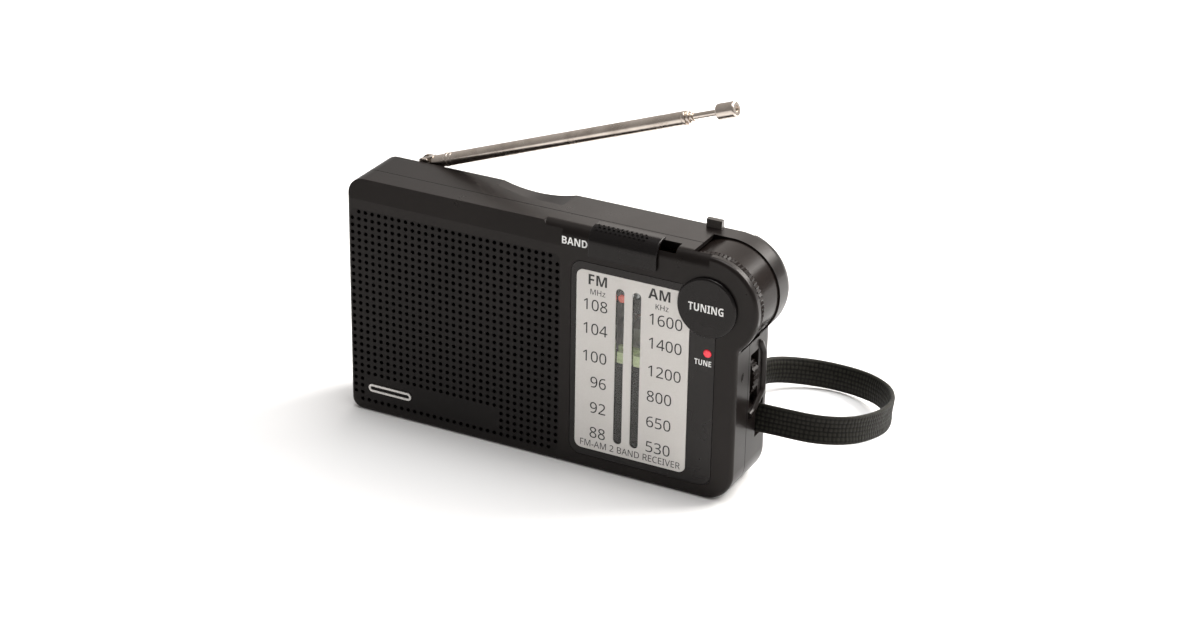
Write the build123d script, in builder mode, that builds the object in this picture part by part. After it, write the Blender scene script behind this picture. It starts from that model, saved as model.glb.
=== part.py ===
from build123d import *

import math

# A pocket radio with a dial panel, a telescopic antenna and a wrist strap.
# Millimetres. +X is the listener's right, +Y points to the back, +Z is up.
# The origin is the middle of the base, on the surface the radio stands on.

# ---- driving dimensions ----
body_width = 111.4
body_height = 66.2
body_depth = 22.0
wall = 1.8
front_skin = 1.2
seam_depth = 7.5
back_round = 4.0
front_round = 1.0

half_width = body_width / 2
front_y = -body_depth / 2
back_y = body_depth / 2
seam_y = front_y + seam_depth
inner_back_y = back_y - wall

# speaker grille
hole_pitch = 2.0
hole_radius = 0.5
hole_columns = 31
hole_rows = 28
first_column_x = -54.2
top_row_z = 57.2
grille_left = -54.9
grille_right = 6.6
grille_bottom = 2.4
grille_top = 58.0
badge_left = -51.4
badge_right = -10.6
badge_bottom = 4.4
badge_top = 10.0

# dial
panel_left = 9.8
panel_right = 49.7
panel_bottom = 3.6
panel_top = 57.6
scale_left = 11.3
scale_right = 42.7
scale_bottom = 5.6
scale_top = 55.6
fm_slot_x = 23.5
am_slot_x = 28.15
slot_width = 2.4
slot_bottom = 9.0
slot_top = 52.4
flag_z = 49.3
lamp_x = 47.7
lamp_z = 40.4
lamp_radius = 1.1
pointer_z = 33.1
pointer_up = 13.2
pointer_down = 21.9

# opening behind the panel, where the pointer travels
window_x_low = 14.0
window_x_high = 39.2
window_z_low = 7.6
window_z_high = 54.6
rail_x = 31.3
rail_y = front_y + 4.7

# tuning wheel
tune_x = 47.4
tune_z = 52.9
bezel_radius = 13.3
cap_radius = 8.0
knurl_radius = 13.1
drum_radius = 12.9
drum_front_y = front_y + 1.6
bezel_back_y = front_y + 2.2
drum_back_y = front_y + 13.2
window_back_y = front_y + 13.4
window_left = 42.2
window_bottom = 41.6
cord_radius = 0.2
cord_wrap_radius = 11.4
shaft_radius = 3.0
running_gap = 0.05

# volume wheel
volume_x = 48.4
volume_z = 30.8
volume_radius = 8.0
volume_front_y = front_y + 10.0
volume_back_y = front_y + 13.0

# band switch
knob_left = 14.7
knob_right = 33.5
band_travel = 4.65
knob_skin = 0.9
knob_gap = 0.1
edge_round = 3.0

# antenna
pivot_x = -44.0
pivot_y = 9.8
pivot_z = 64.9
rest_tilt = 20.07
tube_radius = 1.8
rest_extension = 6.5
tip_radius = 2.1
rebate_floor_z = pivot_z - tip_radius - 0.15
rebate_wall_left_y = front_y + 18.2
rebate_wall_right_y = front_y + 18.6
rebate_right = 50.8

# batteries
bay_left = -10.0
bay_right = 40.5
bay_bottom = 3.1
bay_top = 25.6
bay_front_y = front_y + 9.4
cell_radius = 5.2
cell_length = 44.5
door_thickness = 1.7

# circuit board
board_left = 8.8
board_right = 52.3
board_bottom = 27.6
board_top = 60.3
board_front_y = front_y + 16.0
board_back_y = board_front_y + 1.2

# speaker
speaker_x = -24.2
speaker_z = 30.2
speaker_radius = 25.0

# raised rim round the volume wheel
rim_radius = 0.95

# strap
strap_width = 7.5
strap_thickness = 1.0
strap_hole_y = front_y + 14.9
strap_hole_z = 18.2
strap_fall = 0.25


def upright(y):
    """The vertical plane at depth y: its axes are +X and +Z, and it faces the front."""
    return Plane.XZ.offset(-y)


def rod(x, z, radius, y_start, y_end):
    """A cylinder along the depth of the radio, added to the part being built."""
    with BuildSketch(upright(y_start)) as profile:
        with Locations((x, z)):
            Circle(radius)
    extrude(profile.sketch, amount=-(y_end - y_start))


def block(x_start, x_end, z_start, z_end, y_start, y_end, mode=Mode.ADD):
    """A box between two corners, added to the part being built or cut from it."""
    with BuildSketch(upright(y_start)) as profile:
        with Locations(((x_start + x_end) / 2, (z_start + z_end) / 2)):
            Rectangle(x_end - x_start, z_end - z_start)
    extrude(profile.sketch, amount=-(y_end - y_start), mode=mode)


def hole(x, z, radius, y_start, y_end):
    """A round hole along the depth, cut from the part being built."""
    with BuildSketch(upright(y_start)) as profile:
        with Locations((x, z)):
            Circle(radius)
    extrude(profile.sketch, amount=-(y_end - y_start), mode=Mode.SUBTRACT)


# ---- outline shared by both halves of the cabinet ----
with BuildSketch() as outline:
    with BuildLine():
        Polyline(
            (-half_width, 0),
            (half_width, 0),
            (half_width, tune_z),
            (tune_x, body_height),
            (-half_width, body_height),
            close=True,
        )
    make_face()
    fillet(outline.vertices().group_by(Axis.Y)[0].sort_by(Axis.X)[-1:], radius=8.0)
    fillet(outline.vertices().sort_by(Axis.X)[0:2].sort_by(Axis.Y)[0:1], radius=3.0)
    fillet(outline.vertices().sort_by(Axis.X)[0:2].sort_by(Axis.Y)[-1:], radius=4.5)
    with Locations((tune_x, tune_z)):
        Circle(bezel_radius)
    bulge_foot_z = tune_z - math.sqrt(bezel_radius**2 - (half_width - tune_x) ** 2)
    foot = outline.vertices().sort_by_distance((half_width, bulge_foot_z, 0))[0:1]
    fillet(foot, radius=2.5)

with BuildSketch() as inner_outline:
    add(outline.sketch)
    offset(amount=-wall, kind=Kind.ARC, mode=Mode.REPLACE)

# ---- case screws and their bosses, board screws and their bosses ----
case_screws = [(-50.6, 5.8), (-50.6, 59.4), (50.0, 7.9), (5.6, 60.0)]
board_screws = [(11.8, 29.6), (41.2, 38.0), (12.2, 56.0)]

# ---- front cabinet ----
with BuildPart() as front_cabinet:
    with BuildSketch(upright(front_y)):
        add(outline.sketch)
    extrude(amount=-seam_depth)
    fillet(front_cabinet.faces().sort_by(Axis.Y)[0].outer_wire().edges(), radius=front_round)
    # hollow behind the front skin
    with BuildSketch(upright(front_y + wall)):
        add(inner_outline.sketch)
    extrude(amount=-(seam_depth - wall), mode=Mode.SUBTRACT)
    # steep bevel of the brow above the grille
    with BuildSketch(Plane.YZ.offset(-half_width - 1)):
        with BuildLine():
            Polyline(
                (front_y - 1, 60.6),
                (front_y, 60.6),
                (front_y + 0.8, body_height + 0.01),
                (front_y - 1, body_height + 0.01),
                close=True,
            )
        make_face()
    extrude(amount=half_width + 8.0, mode=Mode.SUBTRACT)
    # rounded top edge to the right of the brow; the brow ends on a falling curve
    with BuildPart(mode=Mode.PRIVATE) as edge_cut:
        with BuildSketch(Plane.YZ):
            with Locations((front_y + edge_round / 2, body_height - edge_round / 2)):
                Rectangle(edge_round, edge_round)
            with Locations((front_y + edge_round, body_height - edge_round)):
                Circle(edge_round, mode=Mode.SUBTRACT)
        extrude(amount=tune_x)
        with BuildSketch(upright(front_y - 1)):
            with BuildLine():
                Line((0.5, body_height + 1), (1.5, body_height))
                RadiusArc((1.5, body_height), (7.5, body_height - edge_round - 1), -7.0)
                Line((7.5, body_height - edge_round - 1), (60, body_height - edge_round - 1))
                Line((60, body_height - edge_round - 1), (60, body_height + 1))
                Line((60, body_height + 1), (0.5, body_height + 1))
            make_face()
        extrude(amount=-(edge_round + 2), mode=Mode.INTERSECT)
    add(edge_cut.part, mode=Mode.SUBTRACT)
    # seat and opening of the speaker grille
    with BuildSketch(upright(front_y - 0.1)):
        with Locations(((grille_left + grille_right) / 2, (grille_bottom + grille_top) / 2)):
            RectangleRounded(grille_right - grille_left, grille_top - grille_bottom, 2.0)
    extrude(amount=-(front_skin + 0.1), mode=Mode.SUBTRACT)
    block(grille_left + 2.5, grille_right - 2.5, 5.0, 55.4, front_y, front_y + wall + 0.1, Mode.SUBTRACT)
    # seat of the dial panel, which leaves an island under the tuning cap
    with BuildSketch(upright(front_y - 0.1)):
        with Locations(((panel_left + panel_right) / 2, (panel_bottom + panel_top) / 2)):
            RectangleRounded(panel_right - panel_left + 0.3, panel_top - panel_bottom + 0.3, 3.15)
        with Locations((tune_x, tune_z)):
            Circle(cap_radius + 0.1, mode=Mode.SUBTRACT)
    extrude(amount=-(front_skin + 0.1), mode=Mode.SUBTRACT)
    with BuildSketch(upright(front_y)):
        with Locations(((window_x_low + window_x_high) / 2, (window_z_low + window_z_high) / 2)):
            Rectangle(window_x_high - window_x_low, window_z_high - window_z_low)
        with Locations((tune_x, tune_z)):
            Circle(cap_radius + 1.6, mode=Mode.SUBTRACT)
    extrude(amount=-(wall + 0.1), mode=Mode.SUBTRACT)
    # room for the tuning drum, open at the top right corner
    hole(tune_x, tune_z, 12.2, front_y + 1.5, seam_y)
    hole(tune_x, tune_z, bezel_radius, bezel_back_y, seam_y)
    block(window_left, 62, 58.0, 68, bezel_back_y, seam_y, Mode.SUBTRACT)
    block(half_width - wall, 62, window_bottom, 60, bezel_back_y, seam_y, Mode.SUBTRACT)
    # pin hole of the tuning cap
    hole(tune_x, tune_z, 1.5, front_y, front_y + wall)
    # slot for the stem of the band knob in the top wall
    block(20.2, 38.0, 61.0, 68.0, front_y + 0.6, front_y + 4.4, Mode.SUBTRACT)
    # lugs for the pointer rail
    block(rail_x - 1.4, rail_x + 1.4, 2.6, 5.0, front_y + front_skin, front_y + 6.2)
    block(rail_x - 1.4, rail_x + 1.4, 55.2, 57.4, front_y + front_skin, front_y + 6.2)
    # bridge that carries the upper cord post, behind the cord
    block(26.0, rail_x - 1.0, 49.4, 57.4, front_y + 3.4, front_y + 4.4)
    with BuildSketch(Plane.XY.offset(3.6)):
        with Locations((rail_x, rail_y)):
            Circle(0.8)
    extrude(amount=53.0, mode=Mode.SUBTRACT)
    # channel for the arm of the band flag, and the seat of the tuning lamp
    block(21.6, rail_x - 1.4, 54.0, 61.1, front_y + front_skin, front_y + wall + 0.1, Mode.SUBTRACT)
    hole(lamp_x, lamp_z, lamp_radius + running_gap, front_y, front_y + wall)
    # bosses for the case screws and the board screws
    for x, z in case_screws:
        rod(x, z, 2.2, front_y + front_skin, front_y + 12.0)
        hole(x, z, 0.75, front_y + 4.0, front_y + 12.0)
    for x, z in board_screws:
        rod(x, z, 1.6, front_y + front_skin, board_front_y)
        hole(x, z, 0.6, front_y + 8.0, board_front_y)
front_cabinet.part.label = "front_cabinet"
export_step(front_cabinet.part, "parts/front_cabinet.step")

# ---- rear cabinet ----
with BuildPart() as rear_cabinet:
    with BuildSketch(upright(seam_y)):
        add(outline.sketch)
    extrude(amount=-(back_y - seam_y))
    fillet(rear_cabinet.faces().sort_by(Axis.Y)[-1].outer_wire().edges(), radius=back_round)
    # the cavity stays inside the step that the antenna lies in
    with BuildPart(mode=Mode.PRIVATE) as cavity:
        with BuildSketch(upright(seam_y)):
            add(inner_outline.sketch)
        extrude(amount=-(inner_back_y - seam_y))
        block(
            -60, rebate_right + wall, rebate_floor_z - wall, 70,
            rebate_wall_left_y - wall, back_y, Mode.SUBTRACT,
        )
    add(cavity.part, mode=Mode.SUBTRACT)
    # step along the top back edge for the folded antenna, a little wider at the left
    with BuildSketch(Plane.XY.offset(rebate_floor_z)):
        with BuildLine():
            Polyline(
                (-60, back_y + 1),
                (-60, rebate_wall_left_y),
                (-4.0, rebate_wall_left_y),
                (5.0, rebate_wall_right_y),
                (rebate_right, rebate_wall_right_y),
                (rebate_right, back_y + 1),
                close=True,
            )
        make_face()
    extrude(amount=10, mode=Mode.SUBTRACT)
    # boss for the antenna stud
    with BuildSketch(Plane.XY.offset(rebate_floor_z)):
        with Locations((pivot_x, pivot_y)):
            Circle(2.6)
    extrude(amount=-7.0)
    with BuildSketch(Plane.XY.offset(rebate_floor_z)):
        with Locations((pivot_x, pivot_y)):
            Circle(1.0 + running_gap)
    extrude(amount=-5.0, mode=Mode.SUBTRACT)
    # shallow finger scoop in the top, in front of the folded antenna
    with BuildPart(mode=Mode.PRIVATE) as scoop:
        with BuildSketch(Plane.XZ):
            with Locations((-9.0, body_height + 38.6)):
                Circle(40.0)
        extrude(amount=-12.0)
        with BuildSketch(Plane.XY.offset(body_height - 3)):
            with BuildLine():
                Polyline((-30.0, 7.0), (-4.0, -1.9), (6.0, -1.9), (6.0, 9.0), (-30.0, 9.0), close=True)
            make_face()
            fillet(vertices().group_by(Axis.Y)[0], radius=3.0)
        extrude(amount=6, mode=Mode.INTERSECT)
    add(scoop.part, mode=Mode.SUBTRACT)
    # window of the tuning drum, closed behind by the bulge
    hole(tune_x, tune_z, bezel_radius, seam_y, window_back_y)
    block(window_left, 62, 58.0, 68, seam_y, window_back_y, Mode.SUBTRACT)
    block(half_width - wall, 62, window_bottom, 60, seam_y, window_back_y, Mode.SUBTRACT)
    # opening of the battery door, with a ledge along its top
    block(bay_left + 0.8, bay_right - 0.8, bay_bottom, bay_top, inner_back_y - 0.1, back_y, Mode.SUBTRACT)
    # recess of the volume wheel in the right wall, and the raised rim behind and below it
    block(half_width - 4, 62, 23.4, 38.2, volume_front_y - 1.4, volume_back_y + 0.4, Mode.SUBTRACT)
    with BuildLine(Plane.YZ.offset(half_width)) as rim_path:
        FilletPolyline(
            (3.6, 38.8), (5.0, 36.6), (5.3, 31.5), (5.4, 25.6), (-0.6, 21.8), (seam_y + 1.0, 21.5),
            radius=[2.0, 6.0, 2.6, 3.0],
        )
    rim_start = Plane(origin=rim_path.line @ 0, z_dir=rim_path.line % 0)
    with BuildSketch(rim_start):
        Circle(rim_radius)
    sweep(path=rim_path.line)
    # two openings of the strap lug, with the corner of the cabinet left as its pillar
    block(half_width - 6, 62, 13.4, 23.0, strap_hole_y - 2.0, strap_hole_y + 2.4, Mode.SUBTRACT)
    with BuildSketch(Plane.XY.offset(11.5)):
        with Locations(((46.6 + 50.4) / 2, back_y - 1)):
            Rectangle(50.4 - 46.6, 8)
    extrude(amount=9.6, mode=Mode.SUBTRACT)
    # bore of the earphone socket in the left wall
    with BuildSketch(Plane.YZ.offset(-half_width - 1)):
        with Locations((front_y + 12.0, 52.6)):
            Circle(3.0)
    extrude(amount=4, mode=Mode.SUBTRACT)
    # screw sleeves, sunk from the back
    for x, z in case_screws:
        rod(x, z, 2.6, front_y + 12.05, min(inner_back_y + 0.2, back_y))
        hole(x, z, 1.0, front_y + 12.0, back_y + 1)
        hole(x, z, 1.9, front_y + 15.0, back_y + 1)
rear_cabinet.part.label = "rear_cabinet"
export_step(rear_cabinet.part, "parts/rear_cabinet.step")

# ---- speaker grille, one plate with a field of round holes ----
hole_wires = []
for column in range(hole_columns):
    for row in range(hole_rows):
        x = first_column_x + column * hole_pitch
        z = top_row_z - row * hole_pitch
        at_side = column in (0, hole_columns - 1)
        at_end = row in (0, hole_rows - 1)
        under_badge = badge_left < x < badge_right and badge_bottom < z < badge_top
        if not (at_side and at_end) and not under_badge:
            ring = Plane(origin=(x, front_y, z), x_dir=(1, 0, 0), z_dir=(0, -1, 0))
            hole_wires.append(Wire.make_circle(hole_radius, ring))
with BuildSketch(upright(front_y)) as grille_outline:
    with Locations(((grille_left + grille_right) / 2, (grille_bottom + grille_top) / 2)):
        RectangleRounded(grille_right - grille_left, grille_top - grille_bottom, 2.0)
grille_face = Face(grille_outline.sketch.faces()[0].outer_wire(), hole_wires)
with BuildPart() as speaker_grille:
    extrude(grille_face, amount=-front_skin)
speaker_grille.part.label = "speaker_grille"
export_step(speaker_grille.part, "parts/speaker_grille.step")

# ---- plain badge on the grille ----
with BuildPart() as badge:
    with BuildSketch(upright(front_y)):
        with Locations((-43.6, 7.2)):
            SlotOverall(13.0, 2.2)
        with Locations((-43.6, 7.2)):
            SlotOverall(11.8, 1.0, mode=Mode.SUBTRACT)
    extrude(amount=0.35)
badge.part.label = "badge"
export_step(badge.part, "parts/badge.step")

# ---- dial panel, with two slots and the notch round the tuning cap ----
with BuildPart() as dial_panel:
    with BuildSketch(upright(front_y)):
        with Locations(((panel_left + panel_right) / 2, (panel_bottom + panel_top) / 2)):
            RectangleRounded(panel_right - panel_left, panel_top - panel_bottom, 3.0)
        with Locations((tune_x, tune_z)):
            Circle(cap_radius + 0.2, mode=Mode.SUBTRACT)
        with Locations((fm_slot_x, (slot_bottom + slot_top) / 2), (am_slot_x, (slot_bottom + slot_top) / 2)):
            SlotOverall(slot_top - slot_bottom, slot_width, rotation=90, mode=Mode.SUBTRACT)
        with Locations((lamp_x, lamp_z)):
            Circle(lamp_radius + running_gap, mode=Mode.SUBTRACT)
    extrude(amount=-front_skin)
    # seat of the printed scale
    with BuildSketch(upright(front_y - 0.1)):
        with Locations(((scale_left + scale_right) / 2, (scale_bottom + scale_top) / 2)):
            RectangleRounded(scale_right - scale_left, scale_top - scale_bottom, 2.0)
    extrude(amount=-0.3, mode=Mode.SUBTRACT)
dial_panel.part.label = "dial_panel"
export_step(dial_panel.part, "parts/dial_panel.step")

# ---- printed scale, a thin silver sheet ----
with BuildPart() as dial_scale:
    with BuildSketch(upright(front_y - 0.05)):
        with Locations(((scale_left + scale_right) / 2, (scale_bottom + scale_top) / 2)):
            RectangleRounded(scale_right - scale_left - 0.1, scale_top - scale_bottom - 0.1, 1.95)
        with Locations((tune_x, tune_z)):
            Circle(cap_radius + 0.25, mode=Mode.SUBTRACT)
        with Locations((fm_slot_x, (slot_bottom + slot_top) / 2), (am_slot_x, (slot_bottom + slot_top) / 2)):
            SlotOverall(slot_top - slot_bottom, slot_width, rotation=90, mode=Mode.SUBTRACT)
    extrude(amount=-0.25)
dial_scale.part.label = "dial_scale"
export_step(dial_scale.part, "parts/dial_scale.step")

# ---- clear strips in the two slots ----
with BuildPart() as dial_windows:
    with BuildSketch(upright(front_y + 0.1)):
        with Locations((fm_slot_x, (slot_bottom + slot_top) / 2), (am_slot_x, (slot_bottom + slot_top) / 2)):
            SlotOverall(slot_top - slot_bottom - 0.06, slot_width - 0.06, rotation=90)
    extrude(amount=-0.6)
dial_windows.part.label = "dial_windows"
export_step(dial_windows.part, "parts/dial_windows.step")

# ---- cap over the tuning shaft ----
with BuildPart() as tuning_cap:
    rod(tune_x, tune_z, cap_radius, front_y - 1.0, front_y)
    fillet(tuning_cap.faces().sort_by(Axis.Y)[0].edges(), radius=0.6)
    rod(tune_x, tune_z, 1.45, front_y, front_y + 1.4)
tuning_cap.part.label = "tuning_cap"
export_step(tuning_cap.part, "parts/tuning_cap.step")

# ---- red tuning lamp ----
with BuildPart() as tuning_lamp:
    rod(lamp_x, lamp_z, lamp_radius, front_y - 0.15, front_y + 1.45)
    fillet(tuning_lamp.faces().sort_by(Axis.Y)[0].edges(), radius=0.3)
tuning_lamp.part.label = "tuning_lamp"
export_step(tuning_lamp.part, "parts/tuning_lamp.step")


def toothed(x, z, radius, depth, teeth):
    """A disc outline with shallow pointed teeth, added to the sketch being drawn."""
    corners = []
    for tooth in range(2 * teeth):
        angle = math.pi * tooth / teeth
        reach = radius - depth * (tooth % 2)
        corners.append((x + reach * math.cos(angle), z + reach * math.sin(angle)))
    with BuildLine() as rim:
        Polyline(*corners, close=True)
    make_face(rim.edges())


# ---- tuning wheel: flange, cord groove, knurled ring, smooth drum and hub ----
groove_front_y = drum_front_y + 0.3
groove_back_y = front_y + 2.9
knurl_back_y = front_y + 4.5
with BuildPart() as tuning_wheel:
    rod(tune_x, tune_z, 12.0, drum_front_y, groove_front_y)
    rod(tune_x, tune_z, cord_wrap_radius - cord_radius - running_gap, groove_front_y, groove_back_y)
    with BuildSketch(upright(groove_back_y)) as knurl:
        toothed(tune_x, tune_z, knurl_radius, 0.3, 72)
    extrude(amount=-(knurl_back_y - groove_back_y))
    rod(tune_x, tune_z, drum_radius, knurl_back_y, drum_back_y)
    hole(tune_x, tune_z, 11.7, front_y + 5.2, drum_back_y + 1)
    rod(tune_x, tune_z, 4.6, front_y + 5.0, front_y + 7.0)
    hole(tune_x, tune_z, shaft_radius, front_y + 3.2, front_y + 8.0)
    hole(tune_x, tune_z, 2.6, drum_front_y - 1, front_y + 2.4)
    hole(tune_x, tune_z, 1.2, drum_front_y, front_y + 4.0)
tuning_wheel.part.label = "tuning_wheel"
export_step(tuning_wheel.part, "parts/tuning_wheel.step")

# ---- screw that holds the wheel on its shaft ----
with BuildPart() as wheel_screw:
    rod(tune_x, tune_z, 2.2, drum_front_y + 0.1, front_y + 2.4)
    rod(tune_x, tune_z, 1.15, front_y + 2.4, front_y + 6.0)
    block(
        tune_x - 1.6, tune_x + 1.6, tune_z - 0.25, tune_z + 0.25,
        drum_front_y, drum_front_y + 0.4, Mode.SUBTRACT,
    )
wheel_screw.part.label = "wheel_screw"
export_step(wheel_screw.part, "parts/wheel_screw.step")

# ---- shaft of the tuning capacitor, which turns with the wheel ----
with BuildPart() as tuning_shaft:
    rod(tune_x, tune_z, shaft_radius - 0.02, front_y + 3.2, front_y + 9.0)
    hole(tune_x, tune_z, 1.18, front_y + 3.0, front_y + 6.4)
tuning_shaft.part.label = "tuning_shaft"
export_step(tuning_shaft.part, "parts/tuning_shaft.step")

# ---- tuning capacitor on the board ----
with BuildPart() as tuning_capacitor:
    block(tune_x - 7.5, tune_x + 7.5, tune_z - 7.5, tune_z + 7.2, front_y + 7.6, board_front_y)
    fillet(tuning_capacitor.edges().filter_by(Axis.Y), radius=1.0)
    hole(tune_x, tune_z, shaft_radius + running_gap, front_y + 7.0, front_y + 9.2)
tuning_capacitor.part.label = "tuning_capacitor"
export_step(tuning_capacitor.part, "parts/tuning_capacitor.step")

# ---- pointer rail ----
with BuildPart() as pointer_rail:
    with BuildSketch(Plane.XY.offset(3.7)):
        with Locations((rail_x, rail_y)):
            Circle(0.78)
    extrude(amount=52.8)
pointer_rail.part.label = "pointer_rail"
export_step(pointer_rail.part, "parts/pointer_rail.step")

# ---- pointer carriage: a plate on the rail, with a bar in each slot and a cord clamp ----
cord_x = 25.8
with BuildPart() as pointer_carriage:
    block(21.9, 33.4, pointer_z - 2.2, pointer_z + 2.2, front_y + 3.1, front_y + 6.1)
    block(21.8, 29.6, pointer_z - 3.0, pointer_z + 3.0, front_y + 4.2, front_y + 7.0, Mode.SUBTRACT)
    for slot_x in (fm_slot_x, am_slot_x):
        block(slot_x - 0.95, slot_x + 0.95, pointer_z - 1.5, pointer_z + 1.5, front_y + 1.0, front_y + 3.2)
    block(cord_x - 1.0, cord_x + 1.0, pointer_z - 1.5, pointer_z + 1.5, front_y + 1.9, front_y + 3.2)
    block(
        cord_x - 0.35, cord_x + 0.35, pointer_z - 2, pointer_z + 2,
        front_y + 1.8, front_y + 3.0, Mode.SUBTRACT,
    )
    with BuildSketch(Plane.XY.offset(pointer_z - 3)):
        with Locations((rail_x, rail_y)):
            Circle(0.78 + running_gap)
    extrude(amount=6, mode=Mode.SUBTRACT)
pointer_carriage.part.label = "pointer_carriage"
export_step(pointer_carriage.part, "parts/pointer_carriage.step")

# ---- posts that turn the dial cord, pressed into the panel ----
lower_cord_z = 5.9
upper_cord_z = 53.2
post_radius = 1.0
turn_radius = post_radius + cord_radius + running_gap
drum_side_x = tune_x - cord_wrap_radius
lane_front_y = front_y + 2.2
lane_back_y = front_y + 2.65
reach = tune_x - cord_x
drop = tune_z - upper_cord_z
slope = math.asin(cord_wrap_radius / math.hypot(reach, drop)) - math.atan2(drop, reach)
upper_post_z = upper_cord_z - turn_radius * math.tan(math.radians(45) + slope / 2)
lower_post_z = lower_cord_z + turn_radius
with BuildPart() as cord_posts:
    for x in (cord_x + turn_radius, drum_side_x - turn_radius):
        rod(x, lower_post_z, post_radius, front_y + wall, front_y + 3.1)
        rod(x, lower_post_z, post_radius + 0.5, front_y + 3.1, front_y + 3.4)
    rod(cord_x + turn_radius, upper_post_z, post_radius, front_y + 1.95, front_y + 3.4)
cord_posts.part.label = "cord_posts"
export_step(cord_posts.part, "parts/cord_posts.step")

# ---- dial cord: one run up the drum's side, one run from under the drum to the upper post ----
drum_foot_z = tune_z - cord_wrap_radius
drum_foot_x = cord_x + (upper_cord_z - drum_foot_z) / math.tan(slope)
with BuildPart() as dial_cord:
    with BuildLine(upright(lane_front_y)) as lower_run:
        FilletPolyline(
            (tune_x + 0.3, tune_z + cord_wrap_radius),
            (drum_side_x, tune_z + cord_wrap_radius),
            (drum_side_x, lower_cord_z),
            (cord_x, lower_cord_z),
            (cord_x, pointer_z - 0.1),
            radius=[cord_wrap_radius, turn_radius, turn_radius],
        )
    lower_start = Plane(origin=lower_run.line @ 0, z_dir=lower_run.line % 0)
    with BuildSketch(lower_start):
        Circle(cord_radius)
    sweep(path=lower_run.line)
    with BuildLine(upright(lane_back_y)) as upper_run:
        FilletPolyline(
            (cord_x, pointer_z + 0.1),
            (cord_x, upper_cord_z),
            (drum_foot_x, drum_foot_z),
            (tune_x + 0.3, drum_foot_z),
            radius=[turn_radius, cord_wrap_radius - 0.01],
        )
    upper_start = Plane(origin=upper_run.line @ 0, z_dir=upper_run.line % 0)
    with BuildSketch(upper_start):
        Circle(cord_radius)
    sweep(path=upper_run.line)
dial_cord.part.label = "dial_cord"
export_step(dial_cord.part, "parts/dial_cord.step")

# ---- band knob: an angled cap over the rounded top edge, with its stem and flag ----
inner_round = edge_round + knob_gap
outer_round = inner_round + knob_skin
knob_inside = front_y - knob_gap
knob_front = knob_inside - knob_skin
knob_under = body_height + knob_gap
knob_top = knob_under + knob_skin
knob_low_z = 59.7
knob_back_y = front_y + 4.6
flag_y = front_y + 1.5
with BuildPart() as band_knob:
    with BuildSketch(Plane.YZ.offset(knob_left)):
        with BuildLine():
            Line((knob_front, knob_low_z), (knob_front, knob_top - outer_round))
            RadiusArc((knob_front, knob_top - outer_round), (knob_front + outer_round, knob_top), outer_round)
            Line((knob_front + outer_round, knob_top), (knob_back_y, knob_top))
            Line((knob_back_y, knob_top), (knob_back_y, knob_under))
            Line((knob_back_y, knob_under), (knob_inside + inner_round, knob_under))
            arc_start = (knob_inside + inner_round, knob_under)
            RadiusArc(arc_start, (knob_inside, knob_under - inner_round), -inner_round)
            Line((knob_inside, knob_under - inner_round), (knob_inside, knob_low_z))
            Line((knob_inside, knob_low_z), (knob_front, knob_low_z))
        make_face()
    extrude(amount=knob_right - knob_left)
    # softened ends
    for end_face in (band_knob.faces().sort_by(Axis.X)[0], band_knob.faces().sort_by(Axis.X)[-1]):
        fillet(end_face.edges(), radius=0.3)
    # stem through the slot, then an arm down to the flag behind the fm slot
    block(22.0, 29.4, 61.6, body_height + knob_gap + 0.2, front_y + 2.4, front_y + 3.8)
    block(22.0, 25.0, 61.3, 62.4, flag_y, front_y + 3.8)
    block(22.0, 25.0, 48.0, 62.4, flag_y, flag_y + 0.35)
band_knob.part.label = "band_knob"
export_step(band_knob.part, "parts/band_knob.step")

# ---- red dot on the flag ----
with BuildPart() as band_flag:
    rod(fm_slot_x, flag_z, 1.05, front_y + 1.25, flag_y)
band_flag.part.label = "band_flag"
export_step(band_flag.part, "parts/band_flag.step")

# ---- band switch on the board, and the fork that the stem pushes ----
with BuildPart() as band_switch:
    block(17.0, 33.4, 51.0, 56.4, front_y + 9.0, board_front_y)
    block(20.6, 32.4, 53.0, 54.4, front_y + 8.9, front_y + 11.0, Mode.SUBTRACT)
band_switch.part.label = "band_switch"
export_step(band_switch.part, "parts/band_switch.step")
with BuildPart() as switch_slider:
    block(22.0, 27.4, 61.6, 62.6, front_y + 3.8, front_y + 8.4)
    block(22.0, 27.4, 53.1, 62.6, front_y + 7.4, front_y + 8.4)
    block(22.0, 27.4, 53.1, 54.3, front_y + 8.4, front_y + 10.9)
switch_slider.part.label = "switch_slider"
export_step(switch_slider.part, "parts/switch_slider.step")

# ---- circuit board ----
with BuildPart() as circuit_board:
    with BuildSketch(upright(board_front_y)):
        with Locations(((board_left + board_right) / 2, (board_bottom + board_top) / 2)):
            Rectangle(board_right - board_left, board_top - board_bottom)
        chamfer(vertices().group_by(Axis.X)[-1], length=2.0)
        with Locations(*board_screws):
            Circle(1.05, mode=Mode.SUBTRACT)
    extrude(amount=-(board_back_y - board_front_y))
circuit_board.part.label = "circuit_board"
export_step(circuit_board.part, "parts/circuit_board.step")

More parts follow.
